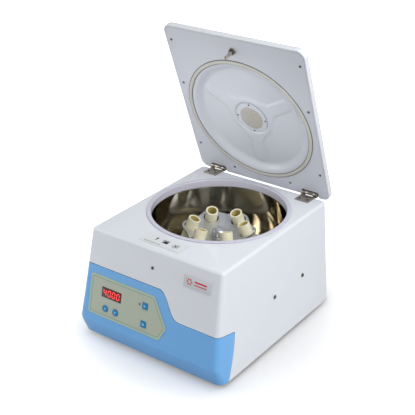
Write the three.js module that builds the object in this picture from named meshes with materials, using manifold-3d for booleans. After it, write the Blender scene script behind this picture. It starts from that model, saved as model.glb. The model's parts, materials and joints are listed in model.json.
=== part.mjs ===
// Bench-top laboratory centrifuge with a six-place angle rotor and a rear-hinged lid.
//
// Millimetres, +Z up. The origin is on the table, under the middle of the whole object's box.
// The front faces -Y and +X is on the right as seen from the front. The lid stands open.
// Every y below is measured from the middle of the housing, and the last group shifts them all.

import * as THREE from "three";
import { mergeVertices } from "three/addons/utils/BufferGeometryUtils.js";
import Module from "manifold-3d";

const wasm = await Module();
wasm.setup();

const radians = THREE.MathUtils.degToRad;
const lerp = THREE.MathUtils.lerp;

// ------------------------------------------------------------------ driving dimensions

const GAP = 0.3; // clearance between neighbouring pieces
const SHEET = 2.5; // housing, bezel and lid wall
const ROUND = 44; // sides of every large ring, so that nested rings stay parallel

// Housing: a box that tapers to the top and whose front leans back.
const FOOT_HEIGHT = 8;
const TOP = 218;
const BODY_DEPTH = 384;
const MIDDLE_Y = 12.4; // middle of the whole object, behind the middle of the housing
const BASE_WIDTH = 324;
const TOP_WIDTH = 294.7;
const FRONT_SETBACK = 45.5;
const TOP_EDGE_RADIUS = 5.5;
const TOE_TOP = 44; // below this height the front turns back under the housing
const TOE_SETBACK = 20;
const BACK_CORNER_RADIUS = 9;
const FRONT_CORNER_TOE = 17; // upright front corners at the bottom edge
const FRONT_CORNER_LOW = 11; // the same from TOE_TOP to CORNER_CHANGE
const FRONT_CORNER_TOP = 7;
const CORNER_CHANGE = 100;

// Front bezel: high on the left, stepping down through an S-curve to low on the right.
const SEAM_HIGH = 151.3;
const SEAM_LOW = 103.3;
const SEAM_GAP = 0.5;

// Chamber and rotor, on one upright axis.
const CHAMBER_Y = 44.6;
const CHAMBER_RADIUS = 128.5;
const CHAMBER_FLOOR = 78;
const BOWL_SHEET = 1.2;
const BOWL_TOP = 204.7;
const RIM_RADIUS = 136.5;
const RIM_HEIGHT = 2;
const TOP_HOLE_RADIUS = 133.5;
const PLACES = 6;
const FIRST_PLACE = 22; // degrees round from +X
const TUBE_ANGLE = 22; // degrees from upright, mouths leaning inwards
const MOUTH_RADIUS = 47;
const MOUTH_HEIGHT = 193;
const SLEEVE_LENGTH = 110;
const SLEEVE_RADIUS = 12;
const SLEEVE_BORE = 9;
const UPPER_PLATE_DROP = 20; // distance along the sleeve from its mouth
const LOWER_PLATE_DROP = 72;
const PLATE_SHEET = 3;
const HUB_RADIUS = 18;
const HUB_LOW = 92;
const HUB_TOP = 164;
const SHAFT_RADIUS = 5;
const ROTOR_SIDES = 24;

// Lid, in its own frame: the hinge axis is the origin, the lid runs along -Y, its outside is +Z.
const HINGE_Y = 195.2;
const HINGE_Z = 223;
const LID_OPEN = 70;
const LID_WIDTH = 305;
const LID_LENGTH = 339.8; // from the hinge axis to the front edge
const LID_OVERHANG = 8; // behind the hinge axis
const LID_THICKNESS = 15.8;
const LID_CORNER_RADIUS = 16;
const LID_EDGE_RADIUS = 8;
const LID_PANEL = 2;
const LID_PANEL_INSET = 3;
const DISH_OUTER = 137;
const DISH_RIM = 129.5;
const DISH_FLOOR_RADIUS = 112;
const DISH_DEPTH = 10.5;
const WINDOW_RADIUS = 21;
const HINGE_X = 108.5;
const KNUCKLE_RADIUS = 4.5;
const KNUCKLE_SPAN = 35;
const CENTRE_KNUCKLE = 17.2;

// Latch: a grooved striker pin on the lid and a forked bolt in the housing.
const STRIKER_REACH = 311; // from the hinge axis
const STRIKER_LENGTH = 25;
const STRIKER_RADIUS = 3.3;
const STRIKER_NECK = 1.6;
const NECK_FROM_TIP = 8;

// ------------------------------------------------------------------ colours

const finish = (color, roughness, metalness = 0) =>
  new THREE.MeshStandardMaterial({ color, roughness, metalness });
const WHITE_PAINT = finish(0xe4e7ea, 0.45);
const LID_PAINT = finish(0xc4c8d2, 0.45);
const BLUE_PLASTIC = finish(0x74b0e4, 0.4);
const OVERLAY_FILM = finish(0xa5ac9b, 0.5);
const KEY_BLUE = finish(0x00739f, 0.45);
const DISPLAY_RED = finish(0x4a0d0c, 0.15);
const STATUS_GREEN = finish(0x3c8f52, 0.3);
const CREAM_PLASTIC = finish(0xe3deba, 0.5);
const STAINLESS = finish(0x9a958d, 0.12, 1);
const BRIGHT_STEEL = finish(0xb9bcc0, 0.25, 1);
const CAST_ALUMINIUM = finish(0xc9cbcd, 0.4, 0.8);
const DARK_RUBBER = finish(0x24262a, 0.85);
const DARK_PLASTIC = finish(0x2b2d31, 0.5);
const CLEAR_PLASTIC = finish(0xc6ced6, 0.1);
const GREY_PLATE = finish(0xb4b8bc, 0.4);
const BOARD_GREEN = finish(0x2e6b45, 0.5);

// ------------------------------------------------------------------ shape tools

const PLAIN_EXTRUDE = { bevelEnabled: false, curveSegments: 4 };

/** A solid of revolution about +Z from [radius, height] points, closed on the axis or on itself. */
function turned(profile, segments) {
  const points = profile.map(([radius, height]) => new THREE.Vector2(radius, height));
  const touchesAxis = profile.some(([radius]) => radius === 0);
  if (THREE.ShapeUtils.isClockWise(points)) points.reverse();
  if (!touchesAxis) points.push(points[0].clone());
  return new THREE.LatheGeometry(points, segments).rotateX(Math.PI / 2);
}

function disc(radius, low, high, segments) {
  const profile = [[0, low], [radius, low], [radius, high], [0, high]];
  return turned(profile, segments);
}

function ring(inner, outer, low, high, segments) {
  const profile = [[inner, low], [outer, low], [outer, high], [inner, high]];
  return turned(profile, segments);
}

/** Points of an arc round (x, y); angles in degrees. */
function arc(x, y, radius, start, sweep, segments) {
  return Array.from({ length: segments + 1 }, (_, i) => {
    const angle = radians(start + (sweep * i) / segments);
    return new THREE.Vector2(x + radius * Math.cos(angle), y + radius * Math.sin(angle));
  });
}

/** Outline of a rectangle whose front and back pairs of corners have their own radius. */
function roundedOutline({ left, right, front, back, frontRadius, backRadius }) {
  const segments = 4;
  return [
    ...arc(right - frontRadius, front + frontRadius, frontRadius, 270, 90, segments),
    ...arc(right - backRadius, back - backRadius, backRadius, 0, 90, segments),
    ...arc(left + backRadius, back - backRadius, backRadius, 90, 90, segments),
    ...arc(left + frontRadius, front + frontRadius, frontRadius, 180, 90, segments),
  ];
}

/** A solid through a stack of rounded rectangles, each { z, left, right, front, back, ... }. */
function loft(levels) {
  const outlines = levels.map(roundedOutline);
  const steps = levels.length - 1;
  const shape = new THREE.Shape(outlines[0]);
  const geometry = new THREE.ExtrudeGeometry(shape, { depth: steps, steps, bevelEnabled: false });
  const position = geometry.attributes.position;
  const near = (x, y) => outlines[0].findIndex((point) => Math.hypot(point.x - x, point.y - y) < 1e-3);
  for (let i = 0; i < position.count; i += 1) {
    const layer = Math.round(position.getZ(i));
    const point = outlines[layer][near(position.getX(i), position.getY(i))];
    position.setXYZ(i, point.x, point.y, levels[layer].z);
  }
  return geometry;
}

/** A plain box between two corners. */
function block([x0, y0, z0], [x1, y1, z1]) {
  const geometry = new THREE.BoxGeometry(x1 - x0, y1 - y0, z1 - z0);
  return geometry.translate((x0 + x1) / 2, (y0 + y1) / 2, (z0 + z1) / 2);
}

/** A cylinder along X. */
function bar(radius, x0, x1, segments) {
  return new THREE.CylinderGeometry(radius, radius, x1 - x0, segments)
    .rotateZ(Math.PI / 2)
    .translate((x0 + x1) / 2, 0, 0);
}

/** A shape drawn in X-Z and extruded along Y from `near` to `far`. */
function extrudeAlongY(shape, near, far) {
  const geometry = new THREE.ExtrudeGeometry(shape, { depth: far - near, ...PLAIN_EXTRUDE });
  return geometry.rotateX(Math.PI / 2).translate(0, far, 0);
}

/** A shape drawn in Y-Z and extruded along X from `low` to `high`. */
function extrudeAlongX(shape, low, high) {
  const geometry = new THREE.ExtrudeGeometry(shape, { depth: high - low, ...PLAIN_EXTRUDE });
  const axes = new THREE.Matrix4().makeBasis(
    new THREE.Vector3(0, 1, 0),
    new THREE.Vector3(0, 0, 1),
    new THREE.Vector3(1, 0, 0),
  );
  return geometry.applyMatrix4(axes).translate(low, 0, 0);
}

/** A polygon with each corner eased by a quadratic curve that starts `ease` from the corner. */
function easedPolygon(corners, ease) {
  const points = corners.map(([x, y]) => new THREE.Vector2(x, y));
  const shape = new THREE.Shape();
  points.forEach((corner, i) => {
    const before = points[(i + points.length - 1) % points.length];
    const after = points[(i + 1) % points.length];
    const enter = corner.clone().add(before.clone().sub(corner).setLength(ease));
    const leave = corner.clone().add(after.clone().sub(corner).setLength(ease));
    if (i === 0) shape.moveTo(enter.x, enter.y);
    else shape.lineTo(enter.x, enter.y);
    shape.quadraticCurveTo(corner.x, corner.y, leave.x, leave.y);
  });
  shape.closePath();
  return shape;
}

function rectangle(x, z, width, height, ease) {
  const w = width / 2;
  const h = height / 2;
  return easedPolygon([[x - w, z - h], [x + w, z - h], [x + w, z + h], [x - w, z + h]], ease);
}

function solidOf(geometry) {
  const plain = geometry.clone();
  plain.deleteAttribute("normal");
  plain.deleteAttribute("uv");
  const merged = mergeVertices(plain, 1e-4);
  const mesh = new wasm.Mesh({
    numProp: 3,
    vertProperties: new Float32Array(merged.attributes.position.array),
    triVerts: new Uint32Array(merged.index.array),
  });
  return new wasm.Manifold(mesh);
}

function geometryOf(solid) {
  const mesh = solid.getMesh();
  const geometry = new THREE.BufferGeometry();
  geometry.setAttribute("position", new THREE.BufferAttribute(mesh.vertProperties, 3));
  geometry.setIndex(new THREE.BufferAttribute(mesh.triVerts, 1));
  return geometry;
}

/** Subtracts every tool from a geometry. */
function cut(geometry, tools) {
  const solid = tools.reduce((rest, tool) => rest.subtract(solidOf(tool)), solidOf(geometry));
  return geometryOf(solid);
}

function join(...geometries) {
  const [first, ...others] = geometries.map(solidOf);
  return geometryOf(others.reduce((sum, solid) => sum.add(solid), first));
}

function common(first, second) {
  return geometryOf(solidOf(first).intersect(solidOf(second)));
}

/** A copy of a geometry moved from a group's frame to the group's parent. */
function fromGroup(geometry, group) {
  group.updateMatrix();
  return geometry.clone().applyMatrix4(group.matrix);
}

/** A pan-head screw on +Z: the head stands above z = 0 and the shank runs down. */
function screw(headRadius, headHeight, shankRadius, shankLength) {
  const profile = [
    [0, -shankLength],
    [shankRadius, -shankLength],
    [shankRadius, 0],
    [headRadius, 0],
    [headRadius, headHeight * 0.45],
    [headRadius * 0.7, headHeight],
    [0, headHeight],
  ];
  return turned(profile, 8);
}

function addTo(group, name, geometry, material) {
  const mesh = new THREE.Mesh(geometry, material);
  mesh.name = name;
  group.add(mesh);
  return mesh;
}

// ------------------------------------------------------------------ groups

const centrifuge = new THREE.Group();
centrifuge.position.y = -MIDDLE_Y;

// The face frame lies on the leaning front: X across, Y into the housing, Z up the slope.
const FRONT_LEAN = Math.atan(FRONT_SETBACK / (TOP - FOOT_HEIGHT));
const face = new THREE.Group();
face.position.set(0, -BODY_DEPTH / 2, FOOT_HEIGHT);
face.rotation.x = -FRONT_LEAN;

const lid = new THREE.Group();
lid.position.set(0, HINGE_Y, HINGE_Z);
lid.rotation.x = -radians(LID_OPEN);

const spindle = new THREE.Group();
spindle.position.y = CHAMBER_Y;

centrifuge.add(face, lid, spindle);

/** Distance up the slope of the front for a height above the table. */
const upSlope = (height) => (height - FOOT_HEIGHT) / Math.cos(FRONT_LEAN);

// ------------------------------------------------------------------ housing and bezel

const BACK = BODY_DEPTH / 2;
const rise = (z) => (z - FOOT_HEIGHT) / (TOP - FOOT_HEIGHT);
const halfWidth = (z) => lerp(BASE_WIDTH / 2, TOP_WIDTH / 2, rise(z));
const SIDE_LEAN = Math.atan((BASE_WIDTH - TOP_WIDTH) / 2 / (TOP - FOOT_HEIGHT));

/** How far along the toe a height lies: 0 above it, 1 at the bottom edge. */
const toePart = (z) => Math.min(1, Math.max(0, (TOE_TOP - z) / (TOE_TOP - FOOT_HEIGHT)));

/** Setback of the toe, with a soft crease at its top. */
const toe = (z) => TOE_SETBACK * (1.12 * toePart(z) ** 1.3 - 0.12 * toePart(z) ** 3);

function bodyLevel(z, inset) {
  const upper = Math.max(0, (z - CORNER_CHANGE) / (TOP - CORNER_CHANGE));
  const corner = lerp(FRONT_CORNER_LOW, FRONT_CORNER_TOE, toePart(z));
  return {
    z,
    left: inset - halfWidth(z),
    right: halfWidth(z) - inset,
    front: FRONT_SETBACK * rise(z) - BACK + toe(z) + inset,
    back: BACK - inset,
    frontRadius: Math.max(1, lerp(corner, FRONT_CORNER_TOP, upper) - inset),
    backRadius: Math.max(1, BACK_CORNER_RADIUS - inset),
  };
}

const TOE_LEVELS = [0, 0.3, 0.6, 0.8, 0.92, 1].map((part) => lerp(FOOT_HEIGHT, TOE_TOP, part));

function bodyOutside() {
  const rounding = [0, 30, 60, 90].map((degrees) => {
    const angle = radians(degrees);
    const z = TOP - TOP_EDGE_RADIUS * (1 - Math.sin(angle));
    return bodyLevel(z, TOP_EDGE_RADIUS * (1 - Math.cos(angle)));
  });
  const sides = [...TOE_LEVELS, CORNER_CHANGE].map((z) => bodyLevel(z, 0));
  return loft([...sides, ...rounding]);
}

/** The room inside the housing wall, open below. */
function bodyInside(inset) {
  const heights = [FOOT_HEIGHT - 2, ...TOE_LEVELS, CORNER_CHANGE, TOP - inset];
  return loft(heights.map((z) => bodyLevel(z, inset)));
}

/** The part of the front below the bezel's seam, as seen from the front. */
function seamOutline(grow) {
  const high = SEAM_HIGH + grow;
  const low = SEAM_LOW + grow;
  const reach = BASE_WIDTH;
  const shape = new THREE.Shape();
  shape.moveTo(-reach, 0);
  shape.lineTo(reach, 0);
  shape.lineTo(reach, low);
  shape.lineTo(68 + grow, low);
  shape.bezierCurveTo(52 + grow, low, 47 + grow, 120 + grow, 38 + grow, 134 + grow);
  shape.bezierCurveTo(32 + grow, 143 + grow, 26 + grow, high, 16 + grow, high);
  shape.lineTo(-reach, high);
  shape.closePath();
  return shape;
}

/** The bezel's wing as seen from the side: the top falls a little to a tight corner at the rear edge. */
function wingOutline(top, grow) {
  const rear = -126 + grow;
  const rearTop = top - 8 + grow;
  const corner = 4;
  const shape = new THREE.Shape();
  shape.moveTo(-BODY_DEPTH, 0);
  shape.lineTo(-156 + grow, 0);
  shape.quadraticCurveTo(-134 + grow, 48, rear, rearTop - corner);
  shape.quadraticCurveTo(rear, rearTop, rear - corner, rearTop + 0.3);
  shape.lineTo(-164, top + grow);
  shape.lineTo(-BODY_DEPTH, top + grow);
  shape.closePath();
  return shape;
}

/** The space that the bezel takes from the body's skin. */
function bezelRegion(grow) {
  const reach = BASE_WIDTH;
  const wingStart = 80;
  const front = extrudeAlongY(seamOutline(grow), -BODY_DEPTH, 0);
  const leftWing = extrudeAlongX(wingOutline(SEAM_HIGH, grow), -reach, wingStart);
  const rightWing = extrudeAlongX(wingOutline(SEAM_LOW, grow), wingStart, reach);
  const wings = join(leftWing, rightWing);
  return common(front, wings);
}

const skin = cut(bodyOutside(), [bodyInside(SHEET)]);

const REAR_OPENING = { left: -122, right: 122, low: 30, high: 166 };
const STRIKER_Y = HINGE_Y - STRIKER_REACH;
const SLOT = { width: 14, depth: 11 };
const FRONT_SCREW_HEIGHT = 184;
const SIDE_SCREWS = [97.8, 1.8].map((y) => ({ y, z: 102 }));
const SIDE_SCREW_RADIUS = 2;

/** Places a group on a side wall: its +Z points out of the housing. */
function sidePlace(side, y, z) {
  const place = new THREE.Group();
  place.position.set(side * halfWidth(z), y, z);
  place.rotation.y = side * (Math.PI / 2 - SIDE_LEAN);
  return place;
}

function housingShell() {
  const chamberHole = disc(TOP_HOLE_RADIUS, TOP - 20, TOP + 5, ROUND).translate(0, CHAMBER_Y, 0);
  const { left, right, low, high } = REAR_OPENING;
  const rearHole = block([left, BACK - 10, low], [right, BACK + 5, high]);
  const slot = block(
    [-SLOT.width / 2, STRIKER_Y - SLOT.depth / 2, TOP - 10],
    [SLOT.width / 2, STRIKER_Y + SLOT.depth / 2, TOP + 5],
  );
  const frontScrewHole = fromGroup(
    bar(2, -6, 6, 8).rotateZ(Math.PI / 2).translate(0, 0, upSlope(FRONT_SCREW_HEIGHT)),
    face,
  );
  const sideHoles = [-1, 1].flatMap((side) =>
    SIDE_SCREWS.map(({ y, z }) => fromGroup(disc(2.4, -6, 6, 8), sidePlace(side, y, z))),
  );
  return cut(skin, [bezelRegion(SEAM_GAP), chamberHole, rearHole, slot, frontScrewHole, ...sideHoles]);
}

// ------------------------------------------------------------------ controls on the face

const ROUND_KEY = 6.5; // radius
const SQUARE_KEY = 12;
const KEY_CLEARANCE = 0.5;
const KEY_PROUD = 2.2;
const KEY_DEPTH = 5;
const DISPLAY = { x: -86, height: 106.5, width: 46, tall: 19 };
const LED = { x: -20.2, height: 110.9, radius: 2 };
const KEYS = [
  { name: "speed_up_button", x: -97.8, height: 76.3, round: true },
  { name: "speed_down_button", x: -73.5, height: 76.3, round: true },
  { name: "start_button", x: -7, height: 110.8, round: false },
  { name: "stop_button", x: -7, height: 76.3, round: false },
];

function keyShape({ x, height, round }, grow) {
  const z = upSlope(height);
  if (!round) return rectangle(x, z, SQUARE_KEY + 2 * grow, SQUARE_KEY + 2 * grow, 1);
  return new THREE.Shape(arc(x, z, ROUND_KEY + grow, 0, 337.5, 15));
}

/** Cuts every key, the display and the status light leave in a sheet of the face. */
function faceHoles() {
  const keys = KEYS.map((key) => extrudeAlongY(keyShape(key, KEY_CLEARANCE), -10, 10));
  const display = rectangle(
    DISPLAY.x,
    upSlope(DISPLAY.height),
    DISPLAY.width + 2 * KEY_CLEARANCE,
    DISPLAY.tall + 2 * KEY_CLEARANCE,
    1,
  );
  const led = new THREE.Shape(arc(LED.x, upSlope(LED.height), LED.radius + GAP, 0, 315, 7));
  return [...keys, extrudeAlongY(display, -10, 10), extrudeAlongY(led, -10, 10)];
}

function frontBezel() {
  const holes = faceHoles().map((hole) => fromGroup(hole, face));
  return cut(common(skin, bezelRegion(0)), holes);
}

function controlOverlay() {
  const outline = [
    [-139, upSlope(58.5)],
    [30, upSlope(58.5)],
    [44, upSlope(84)],
    [12, upSlope(135.5)],
    [-137, upSlope(135.5)],
  ];
  const film = 0.6;
  const sheet = extrudeAlongY(easedPolygon(outline, 5), -GAP - film, -GAP);
  return cut(sheet, faceHoles());
}

/** A key that stands out of the overlay, with an eased front edge. */
function keyCap(key) {
  const edge = 0.7;
  const stem = extrudeAlongY(keyShape(key, 0), edge - KEY_PROUD, KEY_DEPTH);
  const front = extrudeAlongY(keyShape(key, -edge), -KEY_PROUD, edge - KEY_PROUD + 0.5);
  return join(stem, front);
}

function displayWindow() {
  const { x, height, width, tall } = DISPLAY;
  return extrudeAlongY(rectangle(x, upSlope(height), width, tall, 1), -1.2, 4);
}

function statusLight() {
  const profile = [[0, -5], [LED.radius, -5], [LED.radius, 1.2], [1.2, 2], [0, 2.2]];
  return turned(profile, 8).rotateX(Math.PI / 2).translate(LED.x, 0, upSlope(LED.height));
}

function controlBoard() {
  return block([-134, 8, upSlope(56)], [40, 9.6, upSlope(136)]);
}

function ratingPlate() {
  const width = 58;
  const tall = 21.5;
  return extrudeAlongY(rectangle(99, upSlope(184.7), width, tall, 1), -GAP - 0.7, -GAP);
}

// ------------------------------------------------------------------ base, feet and rear

function basePlate() {
  const half = BASE_WIDTH / 2 - 4;
  const low = FOOT_HEIGHT + GAP;
  const flange = 14;
  const profile = new THREE.Shape([
    new THREE.Vector2(-half, low),
    new THREE.Vector2(half, low),
    new THREE.Vector2(half, low + flange),
    new THREE.Vector2(half - 2, low + flange),
    new THREE.Vector2(half - 2, low + 2),
    new THREE.Vector2(2 - half, low + 2),
    new THREE.Vector2(2 - half, low + flange),
    new THREE.Vector2(-half, low + flange),
  ]);
  return common(extrudeAlongY(profile, -BACK, BACK - 4), bodyInside(SHEET + 0.6));
}

function foot() {
  const profile = [[0, 0], [13, 0], [14, 1.2], [12, FOOT_HEIGHT], [0, FOOT_HEIGHT]];
  return turned(profile, 16);
}

const REAR_FACE = BACK - SHEET - GAP; // outer face of the rear panel
const REAR_PANEL = 2;
const INLET = { x: -92, z: 54, width: 27, tall: 20 };
const SWITCH = { x: -54, z: 54, width: 19, tall: 26 };
const FUSE = { x: -24, z: 54, radius: 6.5 };

function rearPanel() {
  const overlap = 6;
  const { left, right, low, high } = REAR_OPENING;
  const sheet = block(
    [left - overlap, REAR_FACE - REAR_PANEL, low - overlap],
    [right + overlap, REAR_FACE, high + overlap],
  );
  const through = ({ x, z, width, tall }) =>
    block([x - width / 2, REAR_FACE - 10, z - tall / 2], [x + width / 2, REAR_FACE + 10, z + tall / 2]);
  const fuseHole = disc(FUSE.radius, -10, 10, 12).rotateX(Math.PI / 2).translate(FUSE.x, REAR_FACE, FUSE.z);
  const slots = [];
  for (let column = 0; column < 2; column += 1) {
    for (let row = 0; row < 9; row += 1) {
      slots.push(through({ x: 38 + 48 * column, z: 52 + 11 * row, width: 38, tall: 3.5 }));
    }
  }
  return cut(sheet, [through(INLET), through(SWITCH), fuseHole, ...slots]);
}

/** A box socket through the rear panel: a flange outside and a body inside. */
function panelSocket({ x, z, width, tall }, depth, lip) {
  const w = width / 2 - GAP;
  const h = tall / 2 - GAP;
  const flange = block(
    [x - w - lip, REAR_FACE + GAP, z - h - lip],
    [x + w + lip, REAR_FACE + 1.9, z + h + lip],
  );
  const body = block([x - w, REAR_FACE - depth, z - h], [x + w, REAR_FACE + 1.9, z + h]);
  return join(flange, body);
}

function powerInlet() {
  const { x, z } = INLET;
  const well = block([x - 11, REAR_FACE - 16, z - 7], [x + 11, REAR_FACE + 5, z + 7]);
  const blade = (dx, dz) =>
    block([x + dx - 0.8, REAR_FACE - 20, z + dz - 2.5], [x + dx + 0.8, REAR_FACE - 2, z + dz + 2.5]);
  const socket = cut(panelSocket(INLET, 26, 2), [well]);
  return join(socket, blade(-6, -1), blade(6, -1), blade(0, 2));
}

function switchFrame() {
  const { x, z } = SWITCH;
  const well = block([x - 7, REAR_FACE - 8, z - 10], [x + 7, REAR_FACE + 5, z + 10]);
  return cut(panelSocket(SWITCH, 20, 1.5), [well]);
}

/** A rocker with a shallow V front, drawn about its own pivot. */
function switchRocker() {
  const profile = new THREE.Shape([
    new THREE.Vector2(-5, -6),
    new THREE.Vector2(3, -8.6),
    new THREE.Vector2(1.6, 0),
    new THREE.Vector2(3, 8.6),
    new THREE.Vector2(-5, 6),
  ]);
  return extrudeAlongX(profile, -6.4, 6.4);
}

function fuseHolder() {
  const profile = [
    [0, -22],
    [5.5, -22],
    [5.5, 0],
    [5.5, GAP],
    [8, GAP],
    [8, 1.8],
    [6.2, 2.4],
    [6.2, 4],
    [0, 4],
  ];
  return turned(profile, 12).rotateX(-Math.PI / 2).translate(FUSE.x, REAR_FACE, FUSE.z);
}

// ------------------------------------------------------------------ chamber and drive

function chamberRim() {
  const low = BOWL_TOP + GAP;
  const top = TOP + RIM_HEIGHT;
  const inner = CHAMBER_RADIUS - 0.5;
  const skirt = TOP_HOLE_RADIUS - 0.5;
  const profile = [
    [inner, low],
    [skirt, low],
    [skirt, TOP + GAP],
    [RIM_RADIUS, TOP + GAP],
    [RIM_RADIUS, top - 0.6],
    [RIM_RADIUS - 1.5, top],
    [inner + 2, top],
    [inner, top - 2],
  ];
  return turned(profile, ROUND);
}

function chamberBowl() {
  const bend = 14;
  const flange = 137.5;
  const corner = CHAMBER_RADIUS - bend;
  const bore = 22;
  const arcProfile = (radius) =>
    arc(corner, CHAMBER_FLOOR + bend, radius, 0, -90, 3).map(({ x, y }) => [x, y]);
  const profile = [
    [flange, BOWL_TOP],
    [CHAMBER_RADIUS, BOWL_TOP],
    ...arcProfile(bend),
    [bore, CHAMBER_FLOOR],
    [bore, CHAMBER_FLOOR - BOWL_SHEET],
    ...arcProfile(bend + BOWL_SHEET).reverse(),
    [CHAMBER_RADIUS + BOWL_SHEET, BOWL_TOP - BOWL_SHEET],
    [flange, BOWL_TOP - BOWL_SHEET],
  ];
  return turned(profile, ROUND);
}

const MOTOR_RADIUS = 45;
const MOTOR_NECK = 19;
const MOTOR_TOP = 88;
const MOUNT_LOW = 27;
const MOUNT_SHEET = 3;

function motor() {
  const flangeLow = MOUNT_LOW + MOUNT_SHEET + GAP;
  const shoulder = CHAMBER_FLOOR - 5;
  const profile = [
    [0, 14],
    [MOTOR_RADIUS - 5, 14],
    [MOTOR_RADIUS, 18],
    [MOTOR_RADIUS, flangeLow],
    [52, flangeLow],
    [52, flangeLow + 4],
    [MOTOR_RADIUS, flangeLow + 4],
    [MOTOR_RADIUS, shoulder - 4],
    [MOTOR_RADIUS - 5, shoulder],
    [MOTOR_NECK, shoulder],
    [MOTOR_NECK, MOTOR_TOP],
    [0, MOTOR_TOP],
  ];
  return turned(profile, 24);
}

function chamberBoot() {
  const low = CHAMBER_FLOOR + GAP;
  const inner = MOTOR_NECK + GAP;
  const profile = [[inner, low], [30, low], [29, low + 1.5], [inner + 3, low + 6], [inner, low + 6]];
  return turned(profile, 24);
}

function motorMount() {
  return ring(MOTOR_RADIUS + 1, 80, MOUNT_LOW, MOUNT_LOW + MOUNT_SHEET, 24);
}

function damper() {
  const low = FOOT_HEIGHT + 2 + 2 * GAP;
  const high = MOUNT_LOW - GAP;
  const waist = (low + high) / 2;
  return turned([[0, low], [11, low], [9, waist], [11, high], [0, high]], 12);
}

function powerSupply() {
  const floor = FOOT_HEIGHT + 2 + 2 * GAP;
  return block([72, 96, floor], [142, 168, floor + 44]);
}

// ------------------------------------------------------------------ rotor

const alongSleeve = (drop) => ({
  r: MOUTH_RADIUS + drop * Math.sin(radians(TUBE_ANGLE)),
  z: MOUTH_HEIGHT - drop * Math.cos(radians(TUBE_ANGLE)),
});

/** Height of a plate that is square to the sleeves, at a radius from the spindle. */
function plateHeight(drop, radius) {
  const centre = alongSleeve(drop);
  return centre.z + (radius - centre.r) * Math.tan(radians(TUBE_ANGLE));
}

/** The upper plate: a shallow cone with a lobe round each place. */
function upperPlate() {
  const reach = 78;
  const drop = UPPER_PLATE_DROP;
  const inner = HUB_RADIUS - 2;
  const profile = [
    [inner, plateHeight(drop, inner) - PLATE_SHEET],
    [reach, plateHeight(drop, reach) - PLATE_SHEET],
    [reach, plateHeight(drop, reach)],
    [inner, plateHeight(drop, inner)],
  ];
  const lobes = Array.from({ length: ROTOR_SIDES }, (_, i) => {
    const angle = (i / ROTOR_SIDES) * 2 * Math.PI;
    const radius = 67 + 4.5 * Math.cos(PLACES * (angle - radians(FIRST_PLACE)));
    return new THREE.Vector2(radius * Math.cos(angle), radius * Math.sin(angle));
  });
  const height = 2 * HUB_TOP;
  const outline = new THREE.ExtrudeGeometry(new THREE.Shape(lobes), { depth: height, bevelEnabled: false });
  return common(turned(profile, ROTOR_SIDES), outline);
}

/** Hub and lower plate: a flat web that turns up into a cone where it carries the sleeves. */
function lowerPlate() {
  const drop = LOWER_PLATE_DROP;
  const reach = 92;
  const web = 115.5;
  const bend = 52;
  const top = (radius) => plateHeight(drop, radius) + PLATE_SHEET / 2;
  const profile = [
    [SHAFT_RADIUS + GAP, HUB_LOW],
    [HUB_RADIUS, HUB_LOW],
    [HUB_RADIUS, web],
    [bend, web],
    [reach + 1, top(reach) - PLATE_SHEET - 1],
    [reach, top(reach)],
    [bend, top(bend)],
    [bend - 2, web + PLATE_SHEET],
    [HUB_RADIUS, web + PLATE_SHEET],
    [HUB_RADIUS, HUB_TOP - 2],
    [HUB_RADIUS - 2, HUB_TOP],
    [SHAFT_RADIUS + GAP, HUB_TOP],
  ];
  return turned(profile, ROTOR_SIDES);
}

/** A tool along a sleeve's axis, centred `drop` below the mouth. */
function placeTool(radius, drop, reach, place, segments) {
  return disc(radius, -reach, reach, segments)
    .translate(0, 0, -drop)
    .rotateY(-radians(TUBE_ANGLE))
    .translate(MOUTH_RADIUS, 0, MOUTH_HEIGHT)
    .rotateZ(radians(place));
}

const placeAngles = Array.from({ length: PLACES }, (_, i) => FIRST_PLACE + (i * 360) / PLACES);

function rotorBody() {
  const upperHoles = placeAngles.map((place) => placeTool(14.7, UPPER_PLATE_DROP, 8, place, 14));
  const lowerHoles = placeAngles.map((place) => placeTool(12.8, LOWER_PLATE_DROP, 7, place, 12));
  const spotFaces = placeAngles.map((place) => placeTool(14.6, LOWER_PLATE_DROP - 7, 5.7, place, 12));
  return cut(join(lowerPlate(), upperPlate()), [...upperHoles, ...lowerHoles, ...spotFaces]);
}

/** A closed-bottom sleeve along Z with its mouth at z = 0 and a collar that rests on the rotor. */
function tubeSleeve() {
  const seat = LOWER_PLATE_DROP - PLATE_SHEET / 2 - GAP;
  const collar = 13.6;
  const profile = [
    [0, -SLEEVE_LENGTH],
    [7, -SLEEVE_LENGTH],
    [SLEEVE_RADIUS, 6 - SLEEVE_LENGTH],
    [SLEEVE_RADIUS, -seat],
    [collar, -seat],
    [collar, 4 - seat],
    [SLEEVE_RADIUS, 4 - seat],
    [SLEEVE_RADIUS, -0.8],
    [SLEEVE_RADIUS - 0.8, 0],
    [SLEEVE_BORE, 0],
    [SLEEVE_BORE, 12 - SLEEVE_LENGTH],
    [0, 6 - SLEEVE_LENGTH],
  ];
  return turned(profile, 14);
}

function motorShaft() {
  return disc(SHAFT_RADIUS, MOTOR_TOP + GAP, HUB_TOP + 9, 12);
}

function rotorNut() {
  const low = HUB_TOP + GAP;
  const bore = SHAFT_RADIUS + GAP;
  const profile = [
    [0, low + 10],
    [bore, low + 10],
    [bore, low],
    [14, low],
    [14, low + 7],
    [11, low + 12],
    [4, low + 14],
    [0, low + 14],
  ];
  return turned(profile, 12);
}

// ------------------------------------------------------------------ lid

const DISH_Y = CHAMBER_Y - HINGE_Y; // over the chamber when the lid is shut

function lidLevel(z, inset) {
  const radius = LID_CORNER_RADIUS - inset;
  return {
    z,
    left: inset - LID_WIDTH / 2,
    right: LID_WIDTH / 2 - inset,
    front: inset - LID_LENGTH,
    back: LID_OVERHANG - inset,
    frontRadius: radius,
    backRadius: radius,
  };
}

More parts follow.
